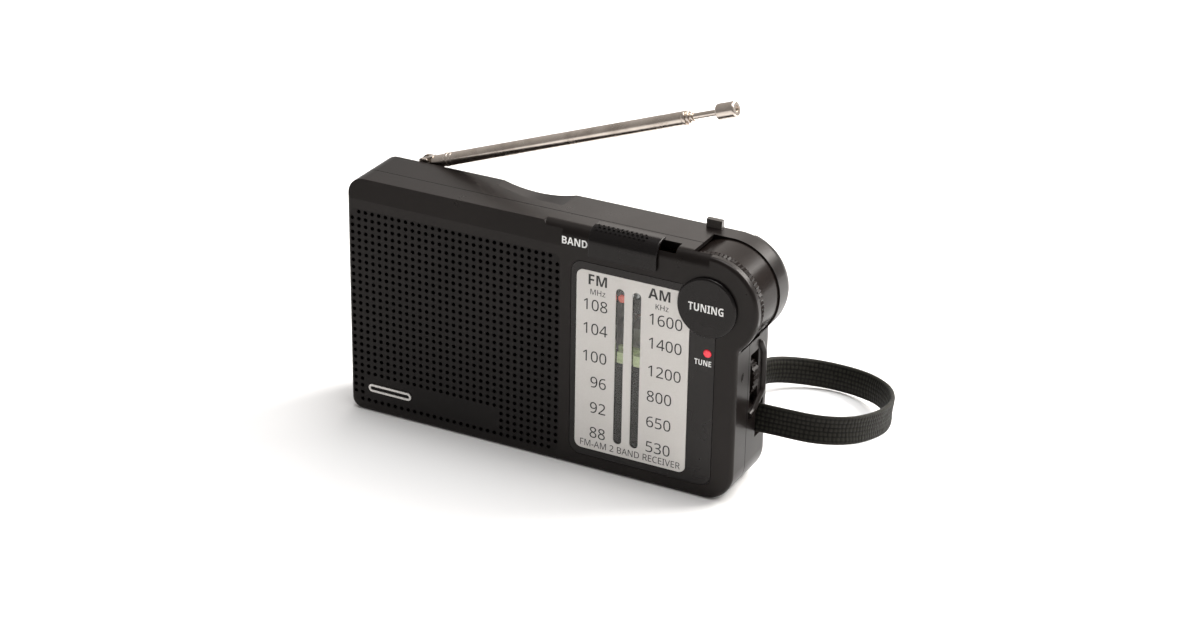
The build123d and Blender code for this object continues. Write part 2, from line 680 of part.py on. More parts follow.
# ---- parts soldered to the board ----
with BuildPart() as tuned_coils:
    for x, z in [(16.5, 35.0), (16.5, 44.0), (25.5, 35.0), (33.5, 35.0)]:
        block(x - 3.5, x + 3.5, z - 3.5, z + 3.5, front_y + 8.0, board_front_y)
        hole(x, z, 1.4, front_y + 7.0, front_y + 9.0)
tuned_coils.part.label = "tuned_coils"
export_step(tuned_coils.part, "parts/tuned_coils.step")
with BuildPart() as capacitors:
    for x, z, radius in [(24.4, 45.2, 2.5), (30.4, 45.2, 2.5), (34.0, 29.5, 1.7)]:
        rod(x, z, radius, front_y + 7.6, board_front_y)
capacitors.part.label = "capacitors"
export_step(capacitors.part, "parts/capacitors.step")
with BuildPart() as radio_chip:
    block(17.0, 27.0, 27.9, 31.2, board_front_y - 2.0, board_front_y)
    chamfer(radio_chip.faces().sort_by(Axis.Y)[0].edges(), length=0.3)
radio_chip.part.label = "radio_chip"
export_step(radio_chip.part, "parts/radio_chip.step")

# ---- screws: four through the back, three through the board ----
with BuildPart() as case_screw_set:
    for x, z in case_screws:
        rod(x, z, 1.8, front_y + 15.0, front_y + 16.5)
        rod(x, z, 0.72, front_y + 5.0, front_y + 15.0)
case_screw_set.part.label = "case_screws"
export_step(case_screw_set.part, "parts/case_screws.step")
with BuildPart() as board_screw_set:
    for x, z in board_screws:
        rod(x, z, 1.7, board_back_y, board_back_y + 1.0)
        rod(x, z, 0.58, board_front_y - 5.0, board_back_y)
board_screw_set.part.label = "board_screws"
export_step(board_screw_set.part, "parts/board_screws.step")

# ---- volume control and its wheel ----
with BuildPart() as volume_wheel:
    with BuildSketch(upright(volume_front_y)):
        toothed(volume_x, volume_z, volume_radius, 0.35, 40)
    extrude(amount=-(volume_back_y - volume_front_y))
    hole(volume_x, volume_z, 1.2, volume_front_y - 1, volume_back_y + 1)
    hole(volume_x, volume_z, 2.4, volume_front_y - 1, volume_front_y + 1.2)
volume_wheel.part.label = "volume_wheel"
export_step(volume_wheel.part, "parts/volume_wheel.step")
with BuildPart() as volume_screw:
    rod(volume_x, volume_z, 2.1, volume_front_y + 0.1, volume_front_y + 1.2)
    rod(volume_x, volume_z, 1.15, volume_front_y + 1.2, volume_back_y + 1.0)
    block(
        volume_x - 1.5, volume_x + 1.5, volume_z - 0.25, volume_z + 0.25,
        volume_front_y, volume_front_y + 0.5, Mode.SUBTRACT,
    )
volume_screw.part.label = "volume_screw"
export_step(volume_screw.part, "parts/volume_screw.step")
with BuildPart() as volume_control:
    with BuildSketch(upright(volume_back_y + 0.2)):
        with Locations((volume_x - 1.0, volume_z)):
            Circle(5.6)
        with Locations((volume_x - 1.0, volume_z)):
            Rectangle(9.0, 7.0)
    extrude(amount=-(board_front_y - volume_back_y - 0.2))
    hole(volume_x, volume_z, 1.2, volume_back_y, board_front_y - 0.8)
volume_control.part.label = "volume_control"
export_step(volume_control.part, "parts/volume_control.step")

# ---- ferrite rod with its coil ----
with BuildPart() as ferrite_rod:
    with BuildSketch(Plane.YZ.offset(-43.0)):
        with Locations((front_y + 10.4, 58.6)):
            SlotOverall(7.0, 4.0)
    extrude(amount=43.0)
ferrite_rod.part.label = "ferrite_rod"
export_step(ferrite_rod.part, "parts/ferrite_rod.step")
with BuildPart() as ferrite_coil:
    with BuildSketch(Plane.YZ.offset(-18.0)):
        with Locations((front_y + 10.4, 58.6)):
            SlotOverall(8.4, 5.4)
            SlotOverall(7.1, 4.1, mode=Mode.SUBTRACT)
    extrude(amount=12.0)
ferrite_coil.part.label = "ferrite_coil"
export_step(ferrite_coil.part, "parts/ferrite_coil.step")

# ---- speaker: basket, magnet, cone and cloth ----
basket_profile = [(25.0, 2.3), (25.0, 3.4), (22.6, 3.4), (12.0, 9.0), (12.0, 11.0), (0.0, 11.0)]
inner_profile = [(0.0, 10.2), (11.2, 10.2), (11.2, 8.7), (22.0, 2.9), (23.4, 2.9), (23.4, 2.3)]
with BuildPart() as speaker_basket:
    with BuildSketch(Plane.XY):
        with BuildLine():
            Polyline(*basket_profile, *inner_profile, close=True)
        make_face()
    revolve(axis=Axis.Y)
speaker_place = Location((speaker_x, front_y, speaker_z))
speaker_basket.part.location = speaker_place
speaker_basket.part.label = "speaker_basket"
export_step(speaker_basket.part, "parts/speaker_basket.step")
with BuildPart() as speaker_magnet:
    rod(speaker_x, speaker_z, 10.0, front_y + 11.0, front_y + 16.0)
    fillet(speaker_magnet.faces().sort_by(Axis.Y)[-1].edges(), radius=0.8)
speaker_magnet.part.label = "speaker_magnet"
export_step(speaker_magnet.part, "parts/speaker_magnet.step")
cone_profile = [(0.0, 7.6), (4.0, 8.0), (5.4, 8.6), (20.0, 3.2), (21.9, 2.35), (23.2, 2.5)]
cone_back = [(23.2, 2.85), (22.0, 2.7), (20.2, 3.5), (5.3, 8.95), (3.9, 8.3), (0.0, 7.9)]
with BuildPart() as speaker_cone:
    with BuildSketch(Plane.XY):
        with BuildLine():
            Polyline(*cone_profile, *cone_back, close=True)
        make_face()
    revolve(axis=Axis.Y)
speaker_cone.part.location = speaker_place
speaker_cone.part.label = "speaker_cone"
export_step(speaker_cone.part, "parts/speaker_cone.step")
with BuildPart() as speaker_cloth:
    rod(speaker_x, speaker_z, 24.8, front_y + 1.9, front_y + 2.2)
speaker_cloth.part.label = "speaker_cloth"
export_step(speaker_cloth.part, "parts/speaker_cloth.step")

# ---- earphone socket ----
socket_y = front_y + 12.0
socket_z = 52.6
socket_radius = 1.8
socket_length = 11.0
with BuildPart() as earphone_socket:
    block(-53.6, -43.6, socket_z - 3.0, socket_z + 3.0, socket_y - 3.4, socket_y + 3.4)
    with BuildSketch(Plane.YZ.offset(-half_width)):
        with Locations((socket_y, socket_z)):
            Circle(2.9)
    extrude(amount=3)
    with BuildSketch(Plane.YZ.offset(-half_width)):
        with Locations((socket_y, socket_z)):
            Circle(socket_radius)
    extrude(amount=socket_length, mode=Mode.SUBTRACT)
earphone_socket.part.label = "earphone_socket"
export_step(earphone_socket.part, "parts/earphone_socket.step")

# ---- battery box, cells, contacts and door ----
bay_x = (bay_left + bay_right) / 2
cell_y = front_y + 14.9
cell_places = [bay_bottom + 5.5, bay_top - 5.5]
with BuildPart() as battery_box:
    block(
        bay_left - 1.0, bay_right + 1.0, bay_bottom - 0.4, bay_top + 0.9,
        bay_front_y - 1.0, inner_back_y - 0.2,
    )
    block(bay_left, bay_right, bay_bottom, bay_top, bay_front_y, inner_back_y + 1, Mode.SUBTRACT)
battery_box.part.label = "battery_box"
export_step(battery_box.part, "parts/battery_box.step")
with BuildPart() as battery_cells:
    for sign, cell_z in zip((1, -1), cell_places):
        cell_start = bay_x - sign * (cell_length / 2)
        with BuildSketch(Plane.YZ.offset(cell_start)):
            with Locations((cell_y, cell_z)):
                Circle(cell_radius)
        extrude(amount=sign * (cell_length - 0.9))
        with BuildSketch(Plane.YZ.offset(cell_start + sign * (cell_length - 0.9))):
            with Locations((cell_y, cell_z)):
                Circle(1.9)
        extrude(amount=sign * 0.9)
battery_cells.part.label = "battery_cells"
export_step(battery_cells.part, "parts/battery_cells.step")
with BuildPart() as battery_contacts:
    for sign, cell_z in zip((1, -1), cell_places):
        plate_x = bay_x + sign * (cell_length / 2 + 0.3)
        wall_x = bay_x + sign * (bay_right - bay_left) / 2
        for start, end in ((plate_x, wall_x), (-wall_x + 2 * bay_x, -plate_x + 2 * bay_x)):
            block(min(start, end), max(start, end), cell_z - 3.4, cell_z + 3.4, cell_y - 3.4, cell_y + 3.4)
battery_contacts.part.label = "battery_contacts"
export_step(battery_contacts.part, "parts/battery_contacts.step")
door_low_z = bay_bottom + 0.1
door_high_z = bay_top - 0.1
hinge_y = back_y - door_thickness / 2
hinge_z = door_low_z + door_thickness / 2
with BuildPart() as battery_door:
    block(bay_left + 0.95, bay_right - 0.95, door_low_z, door_high_z, back_y - door_thickness, back_y)
    fillet(battery_door.edges().filter_by(Axis.X).group_by(Axis.Z)[0], radius=door_thickness / 2 - 0.01)
    # thumb grip
    for groove in range(4):
        groove_z = door_high_z - 3.0 - 1.4 * groove
        block(bay_x - 7, bay_x + 7, groove_z - 0.35, groove_z + 0.35, back_y - 0.5, back_y + 1, Mode.SUBTRACT)
battery_door.part.label = "battery_door"
export_step(battery_door.part, "parts/battery_door.step")

# ---- clip that steadies the folded antenna ----
with BuildPart() as antenna_clip:
    with BuildSketch(Plane.YZ.offset(38.5)):
        with BuildLine():
            Polyline(
                (5.9, body_height), (6.1, body_height + 2.0), (7.3, body_height + 2.2),
                (7.55, body_height + 1.6), (7.45, body_height), close=True,
            )
        make_face()
    extrude(amount=4.2)
    fillet(antenna_clip.edges().group_by(Axis.Z)[-1], radius=0.25)
antenna_clip.part.label = "antenna_clip"
export_step(antenna_clip.part, "parts/antenna_clip.step")

# ---- antenna base: stud, turntable and two ears ----
tilt = math.radians(rest_tilt)
along = (math.cos(tilt), 0, math.sin(tilt))
ear_gap = 1.05
ear_outer = 1.95
with BuildPart() as antenna_base:
    with BuildSketch(Plane.XY.offset(rebate_floor_z + 0.05)):
        with Locations((pivot_x, pivot_y)):
            Circle(2.1)
    extrude(amount=pivot_z + 1.9 - rebate_floor_z - 0.05)
    with BuildSketch(upright(pivot_y - 3)):
        with Locations((pivot_x, pivot_z)):
            Rectangle(6, 6)
            Circle(2.05, mode=Mode.SUBTRACT)
        with Locations((pivot_x, pivot_z - 3)):
            Rectangle(6, 6, mode=Mode.SUBTRACT)
    extrude(amount=-6, mode=Mode.SUBTRACT)
    block(
        pivot_x - 3, pivot_x + 3, pivot_z - 1.8, pivot_z + 4,
        pivot_y - ear_gap, pivot_y + ear_gap, Mode.SUBTRACT,
    )
    with BuildSketch(Plane.XY.offset(rebate_floor_z + 0.05)):
        with Locations((pivot_x, pivot_y)):
            Circle(1.0)
    extrude(amount=-4.6)
    hole(pivot_x, pivot_z, 0.6, pivot_y - 3, pivot_y + 3)
antenna_base.part.label = "antenna_base"
export_step(antenna_base.part, "parts/antenna_base.step")
with BuildPart() as antenna_rivet:
    rod(pivot_x, pivot_z, 0.58, pivot_y - 1.95, pivot_y + 1.95)
antenna_rivet.part.label = "antenna_rivet"
export_step(antenna_rivet.part, "parts/antenna_rivet.step")


def antenna_plane(distance):
    """The plane square to the antenna, at a distance from its pivot."""
    origin = (pivot_x + distance * along[0], pivot_y, pivot_z + distance * along[2])
    return Plane(origin=origin, x_dir=(0, 1, 0), z_dir=along)


# ---- knuckle at the foot of the antenna: a flat tang and a round socket ----
tube_start = 6.4
tube_end = 79.4
with BuildPart() as antenna_knuckle:
    rod(pivot_x, pivot_z, 1.75, pivot_y - 1.0, pivot_y + 1.0)
    with BuildSketch(Plane(origin=(pivot_x, pivot_y - 1.0, pivot_z), x_dir=along, z_dir=(0, -1, 0))):
        with Locations((1.5, 0)):
            Rectangle(3.0, 3.4)
    extrude(amount=-2.0)
    with BuildSketch(antenna_plane(2.6)):
        Circle(1.7)
    extrude(amount=tube_start - 2.6)
    hole(pivot_x, pivot_z, 0.6, pivot_y - 3, pivot_y + 3)
antenna_knuckle.part.label = "antenna_knuckle"
export_step(antenna_knuckle.part, "parts/antenna_knuckle.step")

# ---- four telescopic sections; each tube ends in a rolled lip ----
sections = [
    ("antenna_tube_1", tube_start, tube_end, tube_radius, 1.50),
    ("antenna_tube_2", tube_start + 2.0, tube_end + 0.9, 1.46, 1.16),
    ("antenna_tube_3", tube_start + 3.0, tube_end + 1.8, 1.12, 0.84),
]
for name, start, end, outer, inner in sections:
    with BuildPart() as antenna_tube:
        with BuildSketch(antenna_plane(start)):
            Circle(outer)
            Circle(inner, mode=Mode.SUBTRACT)
        extrude(amount=end - start)
        mouth = antenna_tube.faces().sort_by_distance(antenna_plane(end).origin)[0].outer_wire()
        fillet(mouth.edges(), radius=0.2)
    antenna_tube.part.label = name
    export_step(antenna_tube.part, "parts/" + name + ".step")
with BuildPart() as antenna_rod:
    rod_start = tube_start + 4.0 + rest_extension
    cap_start = tube_end + 2.3 + rest_extension
    with BuildSketch(antenna_plane(rod_start)):
        Circle(0.8)
    extrude(amount=cap_start - rod_start)
    with BuildSketch(antenna_plane(cap_start)):
        Circle(tip_radius)
    extrude(amount=5.3)
    cap_edges = antenna_rod.edges().filter_by(GeomType.CIRCLE)
    fillet([edge for edge in cap_edges if edge.radius > 2], radius=0.5)
    with BuildSketch(antenna_plane(cap_start + 5.3)):
        Circle(0.9)
    extrude(amount=-0.5, mode=Mode.SUBTRACT)
antenna_rod.part.label = "antenna_rod"
export_step(antenna_rod.part, "parts/antenna_rod.step")

# ---- wrist strap: a flat band on its edge, in a plane that falls towards the back ----
# each point is right of and behind the side opening of the lug, measured in the tilted plane
strap_plane = Plane(
    origin=(half_width, strap_hole_y, strap_hole_z), x_dir=(1, 0, 0), z_dir=(0, strap_fall, 1)
)
strap_route = [
    (-6.0, 0.3), (0.4, 0.0), (7.0, 0.6), (15.0, 1.8), (21.6, 8.0), (24.4, 19.0), (23.6, 32.0), (19.4, 44.0),
    (12.0, 54.0), (2.0, 58.6), (-9.0, 57.4), (-17.0, 50.6), (-17.6, 41.0), (-14.8, 31.0), (-11.4, 22.0),
    (-8.4, 13.6), (-7.2, 7.0), (-7.2, 2.4),
]
strap_radii = []
for before, here, after in zip(strap_route, strap_route[1:], strap_route[2:]):
    run_in = Vector(here[0] - before[0], here[1] - before[1])
    run_out = Vector(after[0] - here[0], after[1] - here[1])
    half_turn = math.radians(run_in.get_angle(run_out)) / 2
    strap_radii.append(0.45 * min(run_in.length, run_out.length) / math.tan(half_turn))
print("strap radii", [round(radius, 1) for radius in strap_radii])
with BuildPart() as wrist_strap:
    with BuildLine(strap_plane) as strap_line:
        FilletPolyline(*strap_route, radius=strap_radii)
    strap_start = Plane(
        origin=strap_line.line @ 0, x_dir=strap_plane.z_dir, z_dir=strap_line.line % 0
    )
    with BuildSketch(strap_start):
        Rectangle(strap_width, strap_thickness)
    sweep(path=strap_line.line)
wrist_strap.part.label = "wrist_strap"
export_step(wrist_strap.part, "parts/wrist_strap.step")
strap_length = sum(edge.length for edge in strap_line.edges())
strap_volume = strap_width * strap_thickness * strap_length
print("strap length", strap_length, "volume", wrist_strap.part.volume, "expected", strap_volume)
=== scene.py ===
import math

import bmesh
import bpy
import numpy as np
from mathutils import Matrix, Vector


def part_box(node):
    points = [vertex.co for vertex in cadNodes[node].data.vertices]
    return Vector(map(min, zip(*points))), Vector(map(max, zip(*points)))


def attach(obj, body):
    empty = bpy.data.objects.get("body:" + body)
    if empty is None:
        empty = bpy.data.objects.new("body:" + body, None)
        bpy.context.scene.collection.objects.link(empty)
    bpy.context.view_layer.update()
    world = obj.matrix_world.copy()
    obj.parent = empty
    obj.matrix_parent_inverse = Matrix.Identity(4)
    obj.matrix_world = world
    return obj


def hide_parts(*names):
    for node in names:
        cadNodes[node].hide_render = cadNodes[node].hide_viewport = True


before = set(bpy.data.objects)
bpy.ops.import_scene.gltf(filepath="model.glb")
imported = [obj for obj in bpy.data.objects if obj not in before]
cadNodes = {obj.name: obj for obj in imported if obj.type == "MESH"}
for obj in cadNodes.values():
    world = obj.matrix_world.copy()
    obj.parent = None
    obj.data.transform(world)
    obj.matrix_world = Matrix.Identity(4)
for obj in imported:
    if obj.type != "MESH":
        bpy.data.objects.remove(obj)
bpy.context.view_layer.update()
mm = 0.001
print("frame loaded:", len(cadNodes), "nodes")


def buildMesh(name, points, faces, smooth=True):
    # plain mesh object at the origin, its place in its points
    mesh = bpy.data.meshes.new(name)
    mesh.from_pydata(np.asarray(points, float).reshape(-1, 3).tolist(), [], faces)
    mesh.update()
    mesh.polygons.foreach_set("use_smooth", np.full(len(mesh.polygons), smooth))
    piece = bpy.data.objects.new(name, mesh)
    bpy.context.scene.collection.objects.link(piece)
    return piece


def gridFaces(rows, columns, wrapRows=False, wrapColumns=False):
    # quads between neighbouring rows and columns, joined round where wrapped
    rowIndex = np.arange(rows if wrapRows else rows - 1)
    columnIndex = np.arange(columns if wrapColumns else columns - 1)
    r, c = np.meshgrid(rowIndex, columnIndex, indexing="ij")
    rNext, cNext = (r + 1) % rows, (c + 1) % columns
    quads = np.stack([r * columns + c, r * columns + cNext, rNext * columns + cNext, rNext * columns + c], -1)
    return quads.reshape(-1, 4)


def turnedRing(profile, centre, axis, steps=48):
    # each profile point is carried round the axis: centre + along a + radius (cos t u + sin t v)
    a = np.array(axis, float) / np.linalg.norm(axis)
    u = np.cross(a, [0.0, 1.0, 0.0] if abs(a[1]) < 0.9 else [1.0, 0.0, 0.0])
    u /= np.linalg.norm(u)
    v = np.cross(a, u)
    t = np.linspace(0, 2 * np.pi, steps, endpoint=False)
    spoke = np.cos(t)[:, None] * u + np.sin(t)[:, None] * v
    profile = np.array(profile, float)
    points = np.array(centre, float) + profile[None, :, :1] * a + profile[None, :, 1:] * spoke[:, None, :]
    return points.reshape(-1, 3), gridFaces(steps, len(profile), True, True)


def joinParts(parts):
    # lists of (points, faces) stacked into one
    points, faces, start = [], [], 0
    for partPoints, partFaces in parts:
        points.append(np.asarray(partPoints, float).reshape(-1, 3))
        faces.extend([[int(i) + start for i in face] for face in partFaces])
        start += len(points[-1])
    return np.concatenate(points), faces


def makeOutward(piece):
    # faces turned outwards on a closed shell
    mesh = piece.data
    shell = bmesh.new()
    shell.from_mesh(mesh)
    bmesh.ops.remove_doubles(shell, verts=shell.verts, dist=1e-7)
    bmesh.ops.recalc_face_normals(shell, faces=shell.faces)
    shell.to_mesh(mesh)
    shell.free()
    mesh.update()
    return piece


# camera
cameraSettings = {
    "azimuth": 26.86,
    "elevation": 25.43,
    "roll": 1.05,
    "distance": 0.6948,
    "lens": 83.6,
    "target": (0.0180, -0.0110, 0.04405),
}


def placeCamera(settings):
    # stands back from its target along the azimuth and elevation, turned by the roll
    az, el, roll = (math.radians(settings[key]) for key in ("azimuth", "elevation", "roll"))
    back = Vector((math.sin(az) * math.cos(el), -math.cos(az) * math.cos(el), math.sin(el)))
    right = Vector((math.cos(az), math.sin(az), 0))
    up = back.cross(right)
    turnedRight = right * math.cos(roll) + up * math.sin(roll)
    turnedUp = back.cross(turnedRight)
    data = bpy.data.cameras.new("camera")
    data.lens = settings["lens"]
    data.sensor_width = 36
    data.clip_start = 0.01
    camera = bpy.data.objects.new("camera", data)
    place = Vector(settings["target"]) + back * settings["distance"]
    turn = Matrix((turnedRight, turnedUp, back)).transposed().to_4x4()
    camera.matrix_world = Matrix.Translation(place) @ turn
    bpy.context.scene.collection.objects.link(camera)
    bpy.context.scene.camera = camera


placeCamera(cameraSettings)

# wrist strap: a woven band that leaves the side and comes back into the rear of the lug
strapSettings = {
    "origin": (0.0557, 0.0039, 0.0182),  # middle of the side opening
    "fall": 0.25,          # how far the band's plane falls towards the back
    "route": [
        (-6.0, 0.3), (0.4, 0.0), (7.0, 0.6), (15.0, 1.8), (21.6, 8.0), (24.4, 19.0), (23.6, 32.0), (19.4, 44.0),
        (12.0, 54.0), (2.0, 58.6), (-9.0, 57.4), (-17.0, 50.6), (-17.6, 41.0), (-14.8, 31.0), (-11.4, 22.0),
        (-8.4, 13.6), (-7.2, 7.0), (-7.2, 2.4),
    ],
    "length": 0.1601,
    "width": 0.0075,
    "thickness": 0.00095,
    "step": 0.00024,
    "ribPitch": 0.00115,
    "rowPitch": 0.00115,
    "relief": 0.00024,
    "border": 0.00060,
    "borderRamp": 0.0001,
    "borderHeight": 0.75,
    "columns": 34,
    "squareness": 14,      # power of the section's rounded edges
    "smoothing": 25,       # steps each side over which the bend is averaged
    "cup": 0.0000125,      # how far the edges flare at a bend, in square metres of bend
    "ripple": 0.00005,
    "rippleRate": 420,
    "slant": 0.12,         # how far a knot strays along its row, in pitches
    "slantRate": 900,
}


def strapPath(settings):
    # points of the tilted plane: origin + u X + v (0, cos, -sin), drawn as one smooth curve
    along = np.array([0.0, 1.0, -settings["fall"]])
    along /= np.linalg.norm(along)
    route = np.array(settings["route"]) * mm
    points = np.array(settings["origin"]) + route[:, :1] * np.array([1.0, 0, 0]) + route[:, 1:] * along
    data = bpy.data.curves.new("strapLine", "CURVE")
    data.dimensions = "3D"
    data.resolution_u = 32
    spline = data.splines.new("NURBS")
    spline.points.add(len(points) - 1)
    spline.points.foreach_set("co", np.column_stack([points, np.ones(len(points))]).ravel())
    spline.order_u = 3
    spline.use_endpoint_u = True
    lineObject = bpy.data.objects.new("strapLine", data)
    line = bpy.data.meshes.new_from_object(lineObject)
    path = np.array([vertex.co[:] for vertex in line.vertices])
    bpy.data.objects.remove(lineObject)
    bpy.data.curves.remove(data)
    bpy.data.meshes.remove(line)
    return path, np.cross([1.0, 0, 0], along)


def evenRun(path, step):
    # the same line in equal steps: distance along, points, unit directions
    run = np.concatenate([[0], np.cumsum(np.linalg.norm(np.diff(path, axis=0), axis=1))])
    s = np.linspace(0, run[-1], int(run[-1] / step))
    centre = np.stack([np.interp(s, run, path[:, axis]) for axis in range(3)], 1)
    tangent = np.gradient(centre, axis=0)
    tangent /= np.linalg.norm(tangent, axis=1)[:, None]
    return s, centre, tangent


def smoothBend(s, tangent, reach):
    # change of direction for each metre, averaged over reach steps each side
    bend = np.gradient(tangent, axis=0) / np.gradient(s)[:, None]
    width = 2 * reach + 1
    weights = np.ones(width) / width
    padded = [np.pad(bend[:, axis], reach, mode="edge") for axis in range(3)]
    return np.stack([np.convolve(line, weights, "valid") for line in padded], 1)


def makeStrap(settings):
    # centre + v across + (half thickness + weave + ripple) normal - cup bend (v / half)^2
    # weave: a square grid of raised knots |cos along|^0.5 |cos across|^0.45, with a plain rolled border
    path, across = strapPath(settings)
    s, centre, tangent = evenRun(path, settings["step"])
    normal = np.cross(across, tangent)
    bend = smoothBend(s, tangent, settings["smoothing"])
    half, columns = settings["width"] / 2, settings["columns"]
    face = np.linspace(-half, half, columns)
    v = np.concatenate([face, face[::-1]])
    side = np.concatenate([np.ones(columns), -np.ones(columns)])
    row = np.floor(v / settings["rowPitch"] + 0.5)
    inRow = np.cos(np.pi * (v / settings["rowPitch"] - row))
    slant = settings["slant"] * np.sin(s[:, None] * settings["slantRate"] + row * 1.7)
    phase = s[:, None] / settings["ribPitch"] + slant + 0.5 * (side < 0)
    ribs = np.abs(np.cos(np.pi * phase)) ** 0.5 * np.abs(inRow) ** 0.45
    inBorder = np.clip((np.abs(v) - (half - settings["border"])) / settings["borderRamp"], 0, 1)
    height = ribs * (1 - inBorder) + settings["borderHeight"] * inBorder
    edge = np.sqrt(np.clip(1 - (np.abs(v) / half) ** settings["squareness"], 0.0, 1))
    thick = settings["thickness"] / 2 * edge * side + settings["relief"] * height * side * edge
    cup = -bend[:, None, :] * settings["cup"] * ((v / half) ** 2)[None, :, None]
    ripple = settings["ripple"] * np.sin(s * settings["rippleRate"])[:, None] * (v / half)
    points = (centre[:, None, :] + v[None, :, None] * across
              + (thick + ripple)[..., None] * normal[:, None, :] + cup)
    ring, count = len(v), len(s)
    faces = gridFaces(count, ring, False, True).tolist()
    faces.append(list(range(ring)))
    faces.append(list(range((count - 1) * ring, count * ring))[::-1])
    piece = buildMesh("wristStrapWeave", points, faces)
    weave = piece.data.attributes.new("weaveHeight", "FLOAT", "POINT")
    weave.data.foreach_set("value", np.broadcast_to(height, points.shape[:2]).ravel().astype(np.float32))
    return makeOutward(piece), centre


strap, strapLine = makeStrap(strapSettings)
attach(strap, "cabinet")
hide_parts("wrist_strap")
print("strap made:", len(strap.data.polygons), "faces")


warmGloss = (1.0, 0.955, 0.92, 1)


class Finish:
    # one shader whose patterns all read the object's own coordinates
    def __init__(self, name, colour, roughness, metallic=0.0, specular=0.5, coat=0.0, sheen=0.0):
        self.material = bpy.data.materials.new(name)
        self.material.use_nodes = True
        self.tree = self.material.node_tree
        self.shader = self.tree.nodes["Principled BSDF"]
        self.place = self.tree.nodes.new("ShaderNodeTexCoord").outputs["Object"]
        self.put("Base Color", (*colour, 1))
        self.put("Roughness", roughness)
        self.put("Metallic", metallic)
        self.put("Specular IOR Level", specular)
        if metallic < 0.5:
            self.put("Specular Tint", warmGloss)
        self.put("Coat Weight", coat)
        self.put("Coat Roughness", 0.12)
        self.put("Sheen Weight", sheen)

    def put(self, socket, value):
        if hasattr(value, "node"):
            self.tree.links.new(value, self.shader.inputs[socket])
        else:
            self.shader.inputs[socket].default_value = value

    def node(self, kind, **values):
        node = self.tree.nodes.new(kind)
        for key, value in values.items():
            setattr(node, key, value)
        return node

    def math(self, operation, a, b=0.0, c=0.0):
        node = self.node("ShaderNodeMath", operation=operation)
        for socket, value in zip(node.inputs, (a, b, c)):
            if hasattr(value, "node"):
                self.tree.links.new(value, socket)
            else:
                socket.default_value = value
        return node.outputs[0]

    def axis(self, index):
        node = self.node("ShaderNodeSeparateXYZ")
        self.tree.links.new(self.place, node.inputs[0])
        return node.outputs[index]

    def stretched(self, scale):
        node = self.node("ShaderNodeMapping")
        node.inputs["Scale"].default_value = scale
        self.tree.links.new(self.place, node.inputs["Vector"])
        return node.outputs[0]

    def noise(self, scale, detail=3.0, roughness=0.55, vector=None):
        node = self.node("ShaderNodeTexNoise")
        node.inputs["Scale"].default_value = scale
        node.inputs["Detail"].default_value = detail
        node.inputs["Roughness"].default_value = roughness
        self.tree.links.new(vector or self.place, node.inputs["Vector"])
        return node.outputs["Fac"]

    def wave(self, scale, direction="X", distortion=0.0, profile="SIN"):
        node = self.node("ShaderNodeTexWave", bands_direction=direction, wave_profile=profile)
        node.inputs["Scale"].default_value = scale
        node.inputs["Distortion"].default_value = distortion
        self.tree.links.new(self.place, node.inputs["Vector"])
        return node.outputs["Fac"]

    def spread(self, value, low, high, fromLow=0.3, fromHigh=0.7):
        node = self.node("ShaderNodeMapRange")
        self.tree.links.new(value, node.inputs["Value"])
        for key, number in zip(("From Min", "From Max", "To Min", "To Max"), (fromLow, fromHigh, low, high)):
            node.inputs[key].default_value = number
        return node.outputs[0]

    def blendColours(self, amount, first, second):
        node = self.node("ShaderNodeMix", data_type="RGBA")
        self.tree.links.new(amount, node.inputs["Factor"])
        for socket, value in zip((node.inputs[6], node.inputs[7]), (first, second)):
            if hasattr(value, "node"):
                self.tree.links.new(value, socket)
            else:
                socket.default_value = (*value, 1)
        return node.outputs[2]

    def drift(self, value, colour, second):
        # from the first colour to the second as the value rises
        return self.blendColours(self.spread(value, 0, 1), colour, second)

    def bump(self, height, strength, distance):
        node = self.node("ShaderNodeBump")
        node.inputs["Strength"].default_value = strength
        node.inputs["Distance"].default_value = distance
        self.tree.links.new(height, node.inputs["Height"])
        self.put("Normal", node.outputs[0])


def times(colour, factor):
    return tuple(min(1, channel * factor) for channel in colour)


def mouldedFinish(name, colour, roughness, grain=9000, grainDepth=0.00002, smudge=0.12, lighter=1.8, **more):
    # moulded plastic: fine spark grain, cloudy smudges in the gloss, faint colour drift
    finish = Finish(name, colour, roughness, **more)
    finish.put("Base Color", finish.drift(finish.noise(45, 4), colour, times(colour, lighter)))
    smear = finish.noise(110, 6, 0.7)
    finish.put("Roughness", finish.spread(smear, roughness, roughness + smudge, 0.35, 0.75))
    finish.bump(finish.noise(grain, 2), 0.35, grainDepth)
    return finish


def cabinetFinish(name, settings):
    # glossy shell; the parting line between its halves is a narrow groove across the depth, bumped in and
    # painted near black as the shade inside the gap
    colour, rough = settings["colour"], settings["roughness"]
    finish = Finish(name, colour, rough, specular=settings["specular"])
    fromSeam = finish.math("ABSOLUTE", finish.math("SUBTRACT", finish.axis(1), settings["seamY"]))
    seamGrooveAndShade = finish.spread(fromSeam, 1, 0, settings["seamHalfWidth"] * 0.6, settings["seamHalfWidth"])
    skin = finish.drift(finish.noise(45, 4), colour, times(colour, 1.5))
    # the seam's near-black colour is painted shade in the gap between the halves
    finish.put("Base Color", finish.blendColours(seamGrooveAndShade, skin, (0.001, 0.001, 0.001)))
    smear = finish.spread(finish.noise(110, 6, 0.7), rough, rough + settings["smudge"])
    finish.put("Roughness", finish.math("ADD", smear, finish.math("MULTIPLY", seamGrooveAndShade, 0.5)))
    grain = finish.math("MULTIPLY", finish.noise(settings["grain"], 2), settings["grainDepth"] / 0.0002)
    finish.bump(finish.math("SUBTRACT", grain, seamGrooveAndShade), 0.6, 0.0002)
    return finish


